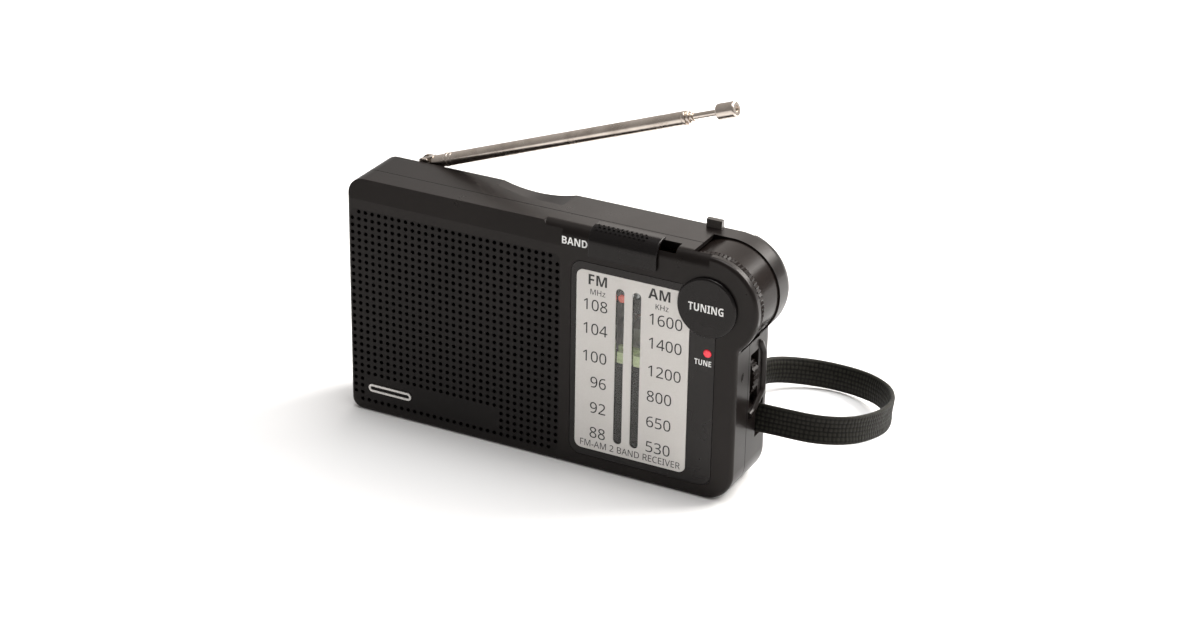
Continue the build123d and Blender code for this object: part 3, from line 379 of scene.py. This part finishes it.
def platedFinish(name, settings):
    # nickel plate: fine lines drawn along the tube, small dull spots
    colour, rough = settings["colour"], settings["roughness"]
    finish = Finish(name, colour, rough, metallic=1.0)
    lines = finish.noise(700, 3, 0.6, finish.stretched((0.02, 1, 1)))
    spots = finish.noise(160, 5, 0.6)
    lined = finish.spread(lines, rough, rough + 0.1)
    finish.put("Roughness", finish.math("ADD", lined, finish.spread(spots, 0, 0.1, 0.55, 0.75)))
    dulled = finish.spread(spots, 0, 1, 0.4, 0.8)
    finish.put("Base Color", finish.blendColours(dulled, colour, settings["dull"]))
    finish.bump(lines, 0.1, 0.00002)
    return finish


def foilFinish(name, settings):
    # satin silver print: metal flake speckle over a cloudy body
    rough = settings["roughness"]
    finish = Finish(name, settings["colour"], rough, metallic=settings["metallic"])
    flake = finish.noise(5200, 2, 0.5)
    cloud = finish.noise(70, 4)
    mixed = finish.math("ADD", finish.math("MULTIPLY", flake, 0.6), finish.math("MULTIPLY", cloud, 0.4))
    speckle = finish.spread(mixed, 0, 1, 0.35, 0.65)
    finish.put("Base Color", finish.blendColours(speckle, settings["dark"], settings["colour"]))
    finish.put("Roughness", finish.spread(flake, rough - 0.06, rough + 0.1))
    finish.bump(flake, 0.15, 0.00001)
    return finish


def wovenFinish(name, settings):
    # webbing: gaps painted darker than the raised knots as the shade between them, a lint haze, fine thread
    # bump
    rough = settings["roughness"]
    finish = Finish(name, settings["colour"], rough, specular=0.15)
    raised = finish.node("ShaderNodeAttribute", attribute_name="weaveHeight").outputs["Fac"]
    lint = finish.noise(900, 4, 0.7)
    body = finish.blendColours(finish.spread(raised, 0, 1, 0.35, 0.85), settings["gapShade"], settings["colour"])
    finish.put("Base Color", finish.blendColours(finish.spread(lint, 0, 0.5, 0.5, 0.8), body, settings["lint"]))
    finish.put("Roughness", finish.spread(lint, rough - 0.1, rough + 0.1))
    finish.bump(finish.noise(6000, 3, 0.6), 0.5, 0.00006)
    return finish


def clothFinish(name, settings):
    # woven cloth: crossed threads along the width and the height, painted darker between the crossings as the
    # shade of the weave
    colour, rough = settings["colour"], settings["roughness"]
    finish = Finish(name, colour, rough, sheen=settings.get("sheen", 0.0), specular=0.2)
    warp, weft = finish.wave(settings["threads"], "X"), finish.wave(settings["threads"], "Z")
    cross = finish.math("MULTIPLY", warp, weft)
    finish.put("Base Color", finish.blendColours(cross, times(colour, 0.4), colour))
    finish.put("Roughness", finish.spread(finish.noise(300), rough - 0.05, rough + 0.1))
    finish.bump(cross, 0.6, 0.00008)
    return finish


def boardFinish(name, settings):
    # laminate: brown base with copper lands under the lacquer
    colour, rough = settings["colour"], settings["roughness"]
    finish = Finish(name, colour, rough, coat=0.3)
    cell = finish.node("ShaderNodeTexVoronoi", feature="DISTANCE_TO_EDGE")
    cell.inputs["Scale"].default_value = 260
    finish.tree.links.new(finish.place, cell.inputs["Vector"])
    lands = finish.spread(cell.outputs["Distance"], 0, 1, 0.08, 0.12)
    fibre = finish.noise(1500, 3)
    base = finish.drift(fibre, colour, times(colour, 1.4))
    finish.put("Base Color", finish.blendColours(lands, base, settings["land"]))
    finish.put("Roughness", finish.spread(fibre, rough, rough + 0.15))
    finish.bump(lands, 0.4, 0.00004)
    return finish


def windingFinish(name, settings):
    # enamelled wire: bands across the length, one for each turn, painted darker in the creases between turns as
    # shade
    colour, rough = settings["colour"], settings["roughness"]
    finish = Finish(name, colour, rough, metallic=0.8)
    turns = finish.wave(settings["turns"], "X", 0.4)
    finish.put("Base Color", finish.blendColours(turns, times(colour, 0.3), colour))
    finish.put("Roughness", finish.spread(finish.noise(500), rough, rough + 0.15))
    finish.bump(turns, 0.8, 0.0001)
    return finish


def lensFinish(name, settings):
    # coloured lens: clear coat over a cloudy body with a faint emission, which is lamp light on the tuning lamp
    # and painted light on the band flag and the pointer
    colour, rough = settings["colour"], settings["roughness"]
    finish = Finish(name, colour, rough, coat=0.6)
    cloud = finish.noise(1400, 3)
    finish.put("Base Color", finish.drift(cloud, colour, settings["pale"]))
    finish.put("Emission Color", (*colour, 1))
    # emission: lamp light on the tuning lamp, painted light on the band flag and the pointer
    finish.put("Emission Strength", settings["lampGlowAndPaintedLight"])
    finish.put("Roughness", finish.spread(cloud, rough, rough + 0.1))
    finish.bump(cloud, 0.1, 0.00003)
    return finish


def clearFinish(name, settings):
    # clear strip with faint rubbing marks
    colour, rough = settings["colour"], settings["roughness"]
    finish = Finish(name, colour, rough, specular=0.5)
    finish.put("Transmission Weight", 1.0)
    finish.put("IOR", 1.45)
    rub = finish.noise(300, 5, 0.6, finish.stretched((1, 1, 0.1)))
    finish.put("Roughness", finish.spread(rub, rough, rough + 0.15, 0.5, 0.8))
    finish.put("Base Color", finish.drift(rub, colour, settings["haze"]))
    finish.bump(rub, 0.05, 0.00002)
    return finish


def wrapFinish(name, settings):
    # printed cell wrap: a light band round one end over a dark body
    colour, rough = settings["colour"], settings["roughness"]
    finish = Finish(name, colour, rough, coat=0.4)
    bands = finish.wave(settings["bands"], "X", 0, "SAW")
    split = finish.spread(bands, 0, 1, 0.70, 0.72)
    cloud = finish.noise(90, 3)
    body = finish.drift(cloud, colour, times(colour, 1.5))
    finish.put("Base Color", finish.blendColours(split, body, settings["band"]))
    finish.put("Roughness", finish.spread(cloud, rough, rough + 0.1))
    finish.bump(finish.noise(700, 3), 0.1, 0.00003)
    return finish


finishSettings = {
    "cabinet": {
        "colour": (0.0060, 0.0046, 0.0042), "roughness": 0.27, "smudge": 0.05, "specular": 0.19,
        "grain": 5200, "grainDepth": 0.000003, "seamY": -0.0035, "seamHalfWidth": 0.00016,
    },
    "plated": {"colour": (0.66, 0.59, 0.53), "dull": (0.42, 0.36, 0.31), "roughness": 0.17},
    "foil": {"colour": (0.66, 0.64, 0.615), "dark": (0.60, 0.58, 0.555), "roughness": 0.5, "metallic": 0.2},
    "webbing": {
        # the gap colour is painted shade between the knots
        "colour": (0.0125, 0.0125, 0.0092), "gapShade": (0.0004, 0.0004, 0.0003), "lint": (0.022, 0.022, 0.017),
        "roughness": 0.6,
    },
    "cloth": {"colour": (0.012, 0.012, 0.013), "roughness": 0.9, "threads": 420, "sheen": 0.1},
    "board": {"colour": (0.16, 0.08, 0.03), "land": (0.20, 0.12, 0.04), "roughness": 0.4},
    "copper": {"colour": (0.62, 0.22, 0.08), "roughness": 0.35, "turns": 420},
    "redLens": {"colour": (0.75, 0.006, 0.03), "pale": (0.85, 0.02, 0.05), "roughness": 0.2, "lampGlowAndPaintedLight": 0.25},
    # the band flag and the pointer are no lamps; their emission is painted light
    "redDot": {"colour": (0.80, 0.07, 0.035), "pale": (0.90, 0.14, 0.08), "roughness": 0.5, "lampGlowAndPaintedLight": 0.25},
    "pointerGreen": {"colour": (0.60, 0.70, 0.34), "pale": (0.82, 0.88, 0.55), "roughness": 0.5, "lampGlowAndPaintedLight": 0.12},
    "clear": {"colour": (0.93, 0.95, 0.94), "haze": (0.75, 0.78, 0.76), "roughness": 0.03},
    "cellWrap": {"colour": (0.02, 0.03, 0.08), "band": (0.55, 0.42, 0.16), "roughness": 0.3, "bands": 6.9},
    "thread": {"colour": (0.5, 0.48, 0.42), "roughness": 0.8, "threads": 1500},
    "steel": {"colour": (0.52, 0.53, 0.55), "dull": (0.30, 0.31, 0.33), "roughness": 0.3},
    "tinned": {"colour": (0.62, 0.62, 0.60), "dull": (0.42, 0.42, 0.40), "roughness": 0.35},
}

finishes = {
    "cabinet": cabinetFinish("glossyShell", finishSettings["cabinet"]),
    "foil": foilFinish("silverPrint", finishSettings["foil"]),
    "badge": foilFinish("badgeSilver", {**finishSettings["foil"], "metallic": 0.9, "roughness": 0.3}),
    "clear": clearFinish("clearStrip", finishSettings["clear"]),
    "redLens": lensFinish("lampRed", finishSettings["redLens"]),
    "redDot": lensFinish("flagRed", finishSettings["redDot"]),
    "pointerGreen": lensFinish("pointerGreen", finishSettings["pointerGreen"]),
    "plated": platedFinish("nickelPlate", finishSettings["plated"]),
    "steel": platedFinish("zincSteel", finishSettings["steel"]),
    "tinned": platedFinish("tinnedCan", finishSettings["tinned"]),
    "board": boardFinish("laminate", finishSettings["board"]),
    "copper": windingFinish("copperWinding", finishSettings["copper"]),
    "cloth": clothFinish("speakerCloth", finishSettings["cloth"]),
    "webbing": wovenFinish("strapWeave", finishSettings["webbing"]),
    "thread": clothFinish("cordThread", finishSettings["thread"]),
    "cellWrap": wrapFinish("cellWrap", finishSettings["cellWrap"]),
}

mouldedSettings = {
    # material name, colour, roughness, the rest
    "clip": ("paleClip", (0.055, 0.050, 0.046), 0.22, {"grainDepth": 4e-6, "smudge": 0.08, "specular": 0.5}),
    "grille": ("satinGrille", (0.0048, 0.0040, 0.0039), 0.32, {"grainDepth": 6e-6, "specular": 0.15}),
    "panel": ("smokedPanel", (0.0060, 0.0054, 0.0054), 0.10,
              {"grainDepth": 1e-6, "smudge": 0.05, "specular": 0.27}),
    "knob": ("knobBlack", (0.0050, 0.0044, 0.0045), 0.17,
             {"grainDepth": 3e-6, "smudge": 0.05, "specular": 0.21}),
    "wheel": ("wheelBlack", (0.0060, 0.0044, 0.0038), 0.20,
              {"grainDepth": 4e-6, "smudge": 0.05, "specular": 0.07}),
    "white": ("ivoryPlastic", (0.62, 0.60, 0.54), 0.4, {"lighter": 1.15}),
    "dark": ("darkPart", (0.014, 0.014, 0.015), 0.45, {}),
    "ferrite": ("sinteredFerrite", (0.035, 0.033, 0.033), 0.6, {"grainDepth": 8e-5}),
    "paper": ("pressedPaper", (0.022, 0.021, 0.020), 0.85, {"grain": 2500, "grainDepth": 1e-4}),
    # near black: painted shade inside the knob's dimples and round the speaker holes
    "dimple": ("paintedHoleAndDimpleShade", (0.0015, 0.0013, 0.0013), 0.8, {"specular": 0.04}),
    "whiteInk": ("whiteInk", (0.78, 0.78, 0.77), 0.5, {"lighter": 1.1, "grainDepth": 4e-6}),
    "darkInk": ("darkInk", (0.022, 0.022, 0.023), 0.6, {"lighter": 1.3, "grainDepth": 4e-6}),
}
for key, (name, colour, roughness, more) in mouldedSettings.items():
    finishes[key] = mouldedFinish(name, colour, roughness, **more)

nodeFinishes = {
    "cabinet": ["front_cabinet", "rear_cabinet", "battery_door"],
    "clip": ["antenna_clip"],
    "grille": ["speaker_grille"],
    "panel": ["dial_panel"],
    "foil": ["dial_scale"],
    "badge": ["badge"],
    "clear": ["dial_windows"],
    "knob": ["tuning_cap", "band_knob"],
    "wheel": ["tuning_wheel", "volume_wheel"],
    "redLens": ["tuning_lamp"],
    "redDot": ["band_flag"],
    "pointerGreen": ["pointer_carriage"],
    "plated": ["antenna_base", "antenna_knuckle", "antenna_tube_1", "antenna_tube_2", "antenna_tube_3",
               "antenna_rod", "battery_contacts"],
    "steel": ["antenna_rivet", "case_screws", "board_screws", "wheel_screw", "volume_screw", "tuning_shaft",
              "pointer_rail", "cord_posts", "speaker_basket"],
    "tinned": ["tuned_coils", "band_switch"],
    "white": ["tuning_capacitor"],
    "dark": ["earphone_socket", "battery_box", "volume_control", "capacitors", "radio_chip", "switch_slider"],
    "ferrite": ["ferrite_rod", "speaker_magnet"],
    "paper": ["speaker_cone"],
    "board": ["circuit_board"],
    "copper": ["ferrite_coil"],
    "cloth": ["speaker_cloth"],
    "webbing": ["wrist_strap"],
    "thread": ["dial_cord"],
    "cellWrap": ["battery_cells"],
}


def dress(piece, finishName):
    piece.data.materials.clear()
    piece.data.materials.append(finishes[finishName].material)


def addPiece(name, points, faces, finishName, body, slotName, smooth=True):
    # a closed shell, dressed, riding on its body
    piece = makeOutward(buildMesh(name, points, faces, smooth))
    dress(piece, finishName)
    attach(piece, body)


for finishName, nodeNames in nodeFinishes.items():
    for nodeName in nodeNames:
        dress(cadNodes[nodeName], finishName)
dress(strap, "webbing")
print("materials:", len(finishes), "finishes on", sum(map(len, nodeFinishes.values())), "nodes")

# printed lettering
scaleLow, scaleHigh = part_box("dial_scale")
capLow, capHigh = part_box("tuning_cap")
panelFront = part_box("dial_panel")[0].y
printLift = 0.00001   # how far the ink's middle stands off its surface
printDepth = 0.00001  # half the ink's thickness
capUnit = 0.714       # height of a capital in the letter outlines

scaleWords = [
    # word, millimetres right of the scale's left edge and below its top, cap height, alignment, bold, width
    ("FM", 5.9, 2.3, 2.8, "CENTER", True, None), ("MHz", 5.9, 5.6, 1.5, "CENTER", False, None),
    ("AM", 23.1, 2.3, 2.8, "CENTER", True, None), ("KHz", 23.7, 5.6, 1.5, "CENTER", False, None),
    ("108", 8.9, 9.2, 3.0, "RIGHT", False, None), ("104", 8.9, 15.8, 3.0, "RIGHT", False, None),
    ("100", 8.9, 23.5, 3.0, "RIGHT", False, None), ("96", 8.9, 30.6, 3.0, "RIGHT", False, None),
    ("92", 8.9, 37.8, 3.0, "RIGHT", False, None), ("88", 8.9, 44.9, 3.0, "RIGHT", False, None),
    ("1600", 20.0, 9.2, 3.0, "LEFT", False, None), ("1400", 20.0, 15.8, 3.0, "LEFT", False, None),
    ("1200", 20.0, 23.5, 3.0, "LEFT", False, None), ("800", 20.0, 30.6, 3.0, "LEFT", False, None),
    ("650", 20.0, 37.8, 3.0, "LEFT", False, None), ("530", 20.0, 44.9, 3.0, "LEFT", False, None),
    ("FM-AM 2 BAND RECEIVER", 15.7, 48.2, 1.8, "CENTER", False, 28.3),
]
panelWords = {
    # word: x and z in millimetres, cap height, width
    "BAND": (10.55, 62.3, 2.0, 7.1),
    "TUNE": (46.6, 37.7, 1.5, 4.6),
}


def plainSans(word, bold):
    # capitals, small letters and digits moved to the sans-serif alphabets, which have an even stroke
    alphabets = ((65, 26, 0x1D5D4, 0x1D5A0), (97, 26, 0x1D5EE, 0x1D5BA), (48, 10, 0x1D7EC, 0x1D7E2))
    turned = []
    for letter in word:
        for first, count, heavy, light in alphabets:
            if first <= ord(letter) < first + count:
                letter = chr(ord(letter) - first + (heavy if bold else light))
                break
        turned.append(letter)
    return "".join(turned)


def wordMesh(word, x, y, z, capHeight, align, bold=False, width=None):
    # one word as a thin solid facing the front, its middle height at z, squeezed to the width if given
    data = bpy.data.curves.new(word, "FONT")
    data.body = plainSans(word, bold)
    data.align_x = align
    data.resolution_u = 4
    data.extrude = 0.004
    textObject = bpy.data.objects.new(word, data)
    mesh = bpy.data.meshes.new_from_object(textObject)
    points = np.array([vertex.co[:] for vertex in mesh.vertices])
    faces = [list(polygon.vertices) for polygon in mesh.polygons]
    bpy.data.objects.remove(textObject)
    bpy.data.curves.remove(data)
    bpy.data.meshes.remove(mesh)
    scale = capHeight * mm / capUnit
    natural = np.ptp(points[:, 0]) * scale
    stretch = 1.0 if width is None else width * mm / natural
    placed = np.empty_like(points)
    placed[:, 0] = x + points[:, 0] * scale * stretch
    placed[:, 1] = y - printLift - np.sign(points[:, 2]) * printDepth
    placed[:, 2] = z + (points[:, 1] - capUnit / 2) * scale
    return placed, faces


scaleParts = [
    wordMesh(word, scaleLow.x + right * mm, scaleLow.y, scaleHigh.z - down * mm, cap, align, bold, width)
    for word, right, down, cap, align, bold, width in scaleWords
]
panelParts = [
    wordMesh(word, x * mm, panelFront, z * mm, cap, "CENTER", True, width)
    for word, (x, z, cap, width) in panelWords.items()
]
capMiddle = (capLow + capHigh) / 2
capParts = [wordMesh("TUNING", capMiddle.x, capLow.y, capMiddle.z, 2.1, "CENTER", True, 9.5)]
addPiece("scaleLettering", *joinParts(scaleParts), "darkInk", "cabinet", "scale_sheet", smooth=False)
addPiece("panelLettering", *joinParts(panelParts), "whiteInk", "cabinet", "panel", smooth=False)
addPiece("tuningLettering", *joinParts(capParts), "whiteInk", "cabinet", "black_knob", smooth=False)
print("lettering made")

# rims of the speaker holes: a fine raised lip round each, painted near black as the shade of the hole
rimSettings = {
    "pitch": 2.0, "columns": 31, "rows": 28, "left": 0.7, "top": 0.8,  # hole grid in millimetres
    "badge": (-51.4, -10.6, 4.4, 10.0),                                # no holes under the badge: x, x, z, z
    "radius": 0.50, "lip": 0.07, "proud": 0.012, "depth": 0.10, "steps": 12,
}


def holeRims(settings):
    # centre + r(p) (cos t, sin t) with depth y(p), p over the four profile points of one lip
    low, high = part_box("speaker_grille")
    columns, rows = np.meshgrid(np.arange(settings["columns"]), np.arange(settings["rows"]), indexing="ij")
    x = low.x / mm + settings["left"] + columns * settings["pitch"]
    z = high.z / mm - settings["top"] - rows * settings["pitch"]
    corner = np.isin(columns, (0, settings["columns"] - 1)) & np.isin(rows, (0, settings["rows"] - 1))
    left, right, bottom, top = settings["badge"]
    underBadge = (x > left) & (x < right) & (z > bottom) & (z < top)
    keep = ~(corner | underBadge)
    centres = np.stack([x[keep], np.full(keep.sum(), low.y / mm), z[keep]], 1)
    r, lip, proud = settings["radius"], settings["lip"], settings["proud"]
    profile = np.array([(settings["depth"], r), (-proud, r + 0.012), (-proud, r + lip), (0.01, r + lip + 0.02)])
    t = np.linspace(0, 2 * np.pi, settings["steps"], endpoint=False)
    depth = np.broadcast_to(profile[:, 0], (len(t), 4))
    reach = profile[:, 1]
    ring = np.stack([np.cos(t)[:, None] * reach, depth, np.sin(t)[:, None] * reach], -1).reshape(-1, 3)
    points = (centres[:, None, :] + ring[None]) * mm
    one = gridFaces(settings["steps"], 4, True, True)
    faces = (one[None] + np.arange(len(centres))[:, None, None] * len(ring)).reshape(-1, 4)
    addPiece("grilleRims", points, faces.tolist(), "dimple", "cabinet", "grille")
    print("rims:", len(centres), "holes")


holeRims(rimSettings)

# rolled collars of the antenna sections
collarSettings = {
    # body: (distance along in mm, radius, half width, height) of each collar
    "antenna_arm": [(6.9, 1.80, 0.5, 0.10), (8.4, 1.80, 0.25, 0.06), (78.9, 1.80, 0.42, 0.10)],
    "antenna_second": [(80.05, 1.46, 0.22, 0.14)],
    "antenna_third": [(80.95, 1.12, 0.22, 0.14)],
}
antennaPivot = (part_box("antenna_rivet")[0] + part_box("antenna_rivet")[1]) / 2
antennaTilt = math.radians(20.07)
antennaLine = Vector((math.cos(antennaTilt), 0, math.sin(antennaTilt)))


def collarProfile(middle, radius, half, height):
    # half an ellipse on the tube: along = middle - half cos t, radius + height sin t, foot sunk a little
    sunk = 0.01
    t = np.linspace(0, np.pi, 9)
    return np.stack([middle - half * np.cos(t), radius - sunk + (height + sunk) * np.sin(t)], 1) * mm


for body, collars in collarSettings.items():
    rings = [turnedRing(collarProfile(*collar), antennaPivot, antennaLine, 56) for collar in collars]
    addPiece(body + "Collars", *joinParts(rings), "plated", body, "plated")
print("collars made")

# dark domes on top of the band knob, painted near black as the shade inside its dimples
dotSettings = {
    "columns": 11, "rows": 3, "pitch": 1.30, "rowPitch": 1.04, "fromLeft": 1.3, "fromFront": 1.6,
    "radius": 0.36, "height": 0.04, "sunk": 0.02, "steps": 12, "rings": 4,
}


def knobDimpleShadeDots(settings):
    # low domes on a staggered grid: height h cos a, radius r sin a, for a up to 90 degrees
    low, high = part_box("band_knob")
    rings, steps = settings["rings"], settings["steps"]
    a = np.linspace(0.12, np.pi / 2, rings)[:, None]
    t = np.linspace(0, 2 * np.pi, steps, endpoint=False)
    reach = settings["radius"] * np.sin(a)
    rise = np.broadcast_to(settings["height"] * np.cos(a) - settings["sunk"], (rings, steps))
    dome = np.stack([reach * np.cos(t), reach * np.sin(t), rise], -1).reshape(-1, 3)
    faces = gridFaces(rings, steps, False, True).tolist()
    faces += [list(range(steps)), list(range((rings - 1) * steps, rings * steps))[::-1]]
    parts = []
    for row in range(settings["rows"]):
        for column in range(settings["columns"]):
            x = low.x / mm + settings["fromLeft"] + (column + 0.5 * (row % 2)) * settings["pitch"]
            y = low.y / mm + settings["fromFront"] + row * settings["rowPitch"]
            parts.append(((dome + (x, y, high.z / mm)) * mm, faces))
    addPiece("knobDimpleShadeDots", *joinParts(parts), "dimple", "band_knob", "black_knob")


knobDimpleShadeDots(dotSettings)

# small raised arcs on the right side, beside the volume wheel
arcSettings = {
    "centre": (0.0557, -0.0062, 0.0338), "radii": (0.75, 1.35), "half": 0.16,
    "proud": 0.12, "sunk": 0.02, "round": 0.05, "shoulder": 0.04, "sweep": 70, "steps": 17,
}


def soundArcs(settings):
    # bent bars: centre + r (cos t, sin t) in the wall's plane, r and height round six profile points
    t = np.radians(np.linspace(-settings["sweep"], settings["sweep"], settings["steps"])) + np.pi
    proud, sunk, bevel = settings["proud"], settings["sunk"], settings["round"]
    shoulder = proud - settings["shoulder"]
    steps = settings["steps"]
    x, y, z = settings["centre"]
    parts = []
    for radius in settings["radii"]:
        inner, outer = radius - settings["half"], radius + settings["half"]
        reach = np.array([inner, inner, inner + bevel, outer - bevel, outer, outer]) * mm
        height = np.array([-sunk, shoulder, proud, proud, shoulder, -sunk]) * mm
        points = np.stack([
            np.broadcast_to(x + height, (steps, 6)),
            y + np.cos(t)[:, None] * reach,
            z + np.sin(t)[:, None] * reach,
        ], -1).reshape(-1, 3)
        faces = gridFaces(steps, 6, False, True).tolist()
        faces += [list(range(6)), list(range((steps - 1) * 6, steps * 6))[::-1]]
        parts.append((points, faces))
    addPiece("volumeArcs", *joinParts(parts), "cabinet", "cabinet", "cabinet", smooth=False)


soundArcs(arcSettings)

# rounded upper end of the rim round the volume wheel
rimEndSettings = {
    "centre": (0.0557, 0.0036, 0.0388), "along": (0, -0.537, 0.843), "half": 0.0019, "radius": 0.00095,
    "rows": 13, "steps": 32,
}


def rimEnd(settings):
    # half-sunk ellipsoid: centre + half cos p along + radius sin p (cos t u + sin t v)
    rows, steps = settings["rows"], settings["steps"]
    along = np.array(settings["along"]) / np.linalg.norm(settings["along"])
    u = np.array([1.0, 0.0, 0.0])
    v = np.cross(along, u)
    centre = np.array(settings["centre"])
    p = np.linspace(0, np.pi, rows + 2)[1:-1, None, None]
    t = np.linspace(0, 2 * np.pi, steps, endpoint=False)[None, :, None]
    around = settings["radius"] * np.sin(p) * (np.cos(t) * u + np.sin(t) * v)
    grid = centre + settings["half"] * np.cos(p) * along + around
    poles = [centre + settings["half"] * along, centre - settings["half"] * along]
    points = np.concatenate([grid.reshape(-1, 3), poles])
    last = rows * steps
    faces = gridFaces(rows, steps, False, True).tolist()
    faces += [[last, (i + 1) % steps, i] for i in range(steps)]
    faces += [[last + 1, last - steps + i, last - steps + (i + 1) % steps] for i in range(steps)]
    addPiece("volumeRimEnd", points, faces, "cabinet", "cabinet", "cabinet")


rimEnd(rimEndSettings)
print("knob dimples and side details made")

# floor and light
stageSettings = {
    "floorColour": (0.90, 0.90, 0.90),
    "floorSize": 4.0,
    "backLight": {"place": (-0.15, 1.5, 0.85), "size": (1.3, 0.8), "power": 5.0, "colour": (1.0, 0.93, 0.87)},
    "topLight": {"place": (0.15, 0.15, 1.5), "size": (0.9, 0.9), "power": 17.5, "colour": (1.0, 1.0, 1.0)},
    "sideLight": {"place": (0.34, 0.36, 0.42), "size": (0.35, 0.35), "power": 6.5, "colour": (1.0, 0.97, 0.94)},
    "worldFront": 0.31,
    "worldBack": 0.60,
    "worldColour": (1.0, 0.965, 0.935),
}


def makeFloor(settings):
    half = settings["floorSize"] / 2
    corners = [(-half, -half, 0), (half, -half, 0), (half, half, 0), (-half, half, 0)]
    floor = buildMesh("floor", corners, [[0, 1, 2, 3]])
    colour = settings["floorColour"]
    finish = Finish("paleFloor", colour, 0.9, specular=0.0)
    finish.put("Base Color", finish.blendColours(finish.noise(2, 2), colour, times(colour, 0.985)))
    floor.data.materials.append(finish.material)


def makeLight(name, place, size, power, colour):
    data = bpy.data.lights.new(name, "AREA")
    data.shape = "RECTANGLE"
    data.size, data.size_y = size
    data.energy = power
    data.color = colour
    light = bpy.data.objects.new(name, data)
    light.matrix_world = Matrix.Translation(place) @ Vector(place).to_track_quat("Z", "Y").to_matrix().to_4x4()
    bpy.context.scene.collection.objects.link(light)


def makeWorld(settings):
    # soft room: dimmer in front of the radio, brighter behind it
    world = bpy.data.worlds.new("softRoom")
    bpy.context.scene.world = world
    world.use_nodes = True
    tree = world.node_tree
    direction = tree.nodes.new("ShaderNodeTexCoord")
    split = tree.nodes.new("ShaderNodeSeparateXYZ")
    ramp = tree.nodes.new("ShaderNodeMapRange")
    tree.links.new(direction.outputs["Generated"], split.inputs[0])
    tree.links.new(split.outputs["Y"], ramp.inputs["Value"])
    ramp.inputs["From Min"].default_value = -0.8
    ramp.inputs["From Max"].default_value = 0.6
    ramp.inputs["To Min"].default_value = settings["worldFront"]
    ramp.inputs["To Max"].default_value = settings["worldBack"]
    background = tree.nodes["Background"]
    background.inputs["Color"].default_value = (*settings["worldColour"], 1)
    tree.links.new(ramp.outputs[0], background.inputs["Strength"])


makeFloor(stageSettings)
for lightName in ("backLight", "topLight", "sideLight"):
    light = stageSettings[lightName]
    makeLight(lightName, **light)
makeWorld(stageSettings)
bpy.context.scene.view_settings.view_transform = "Standard"
print("stage made")
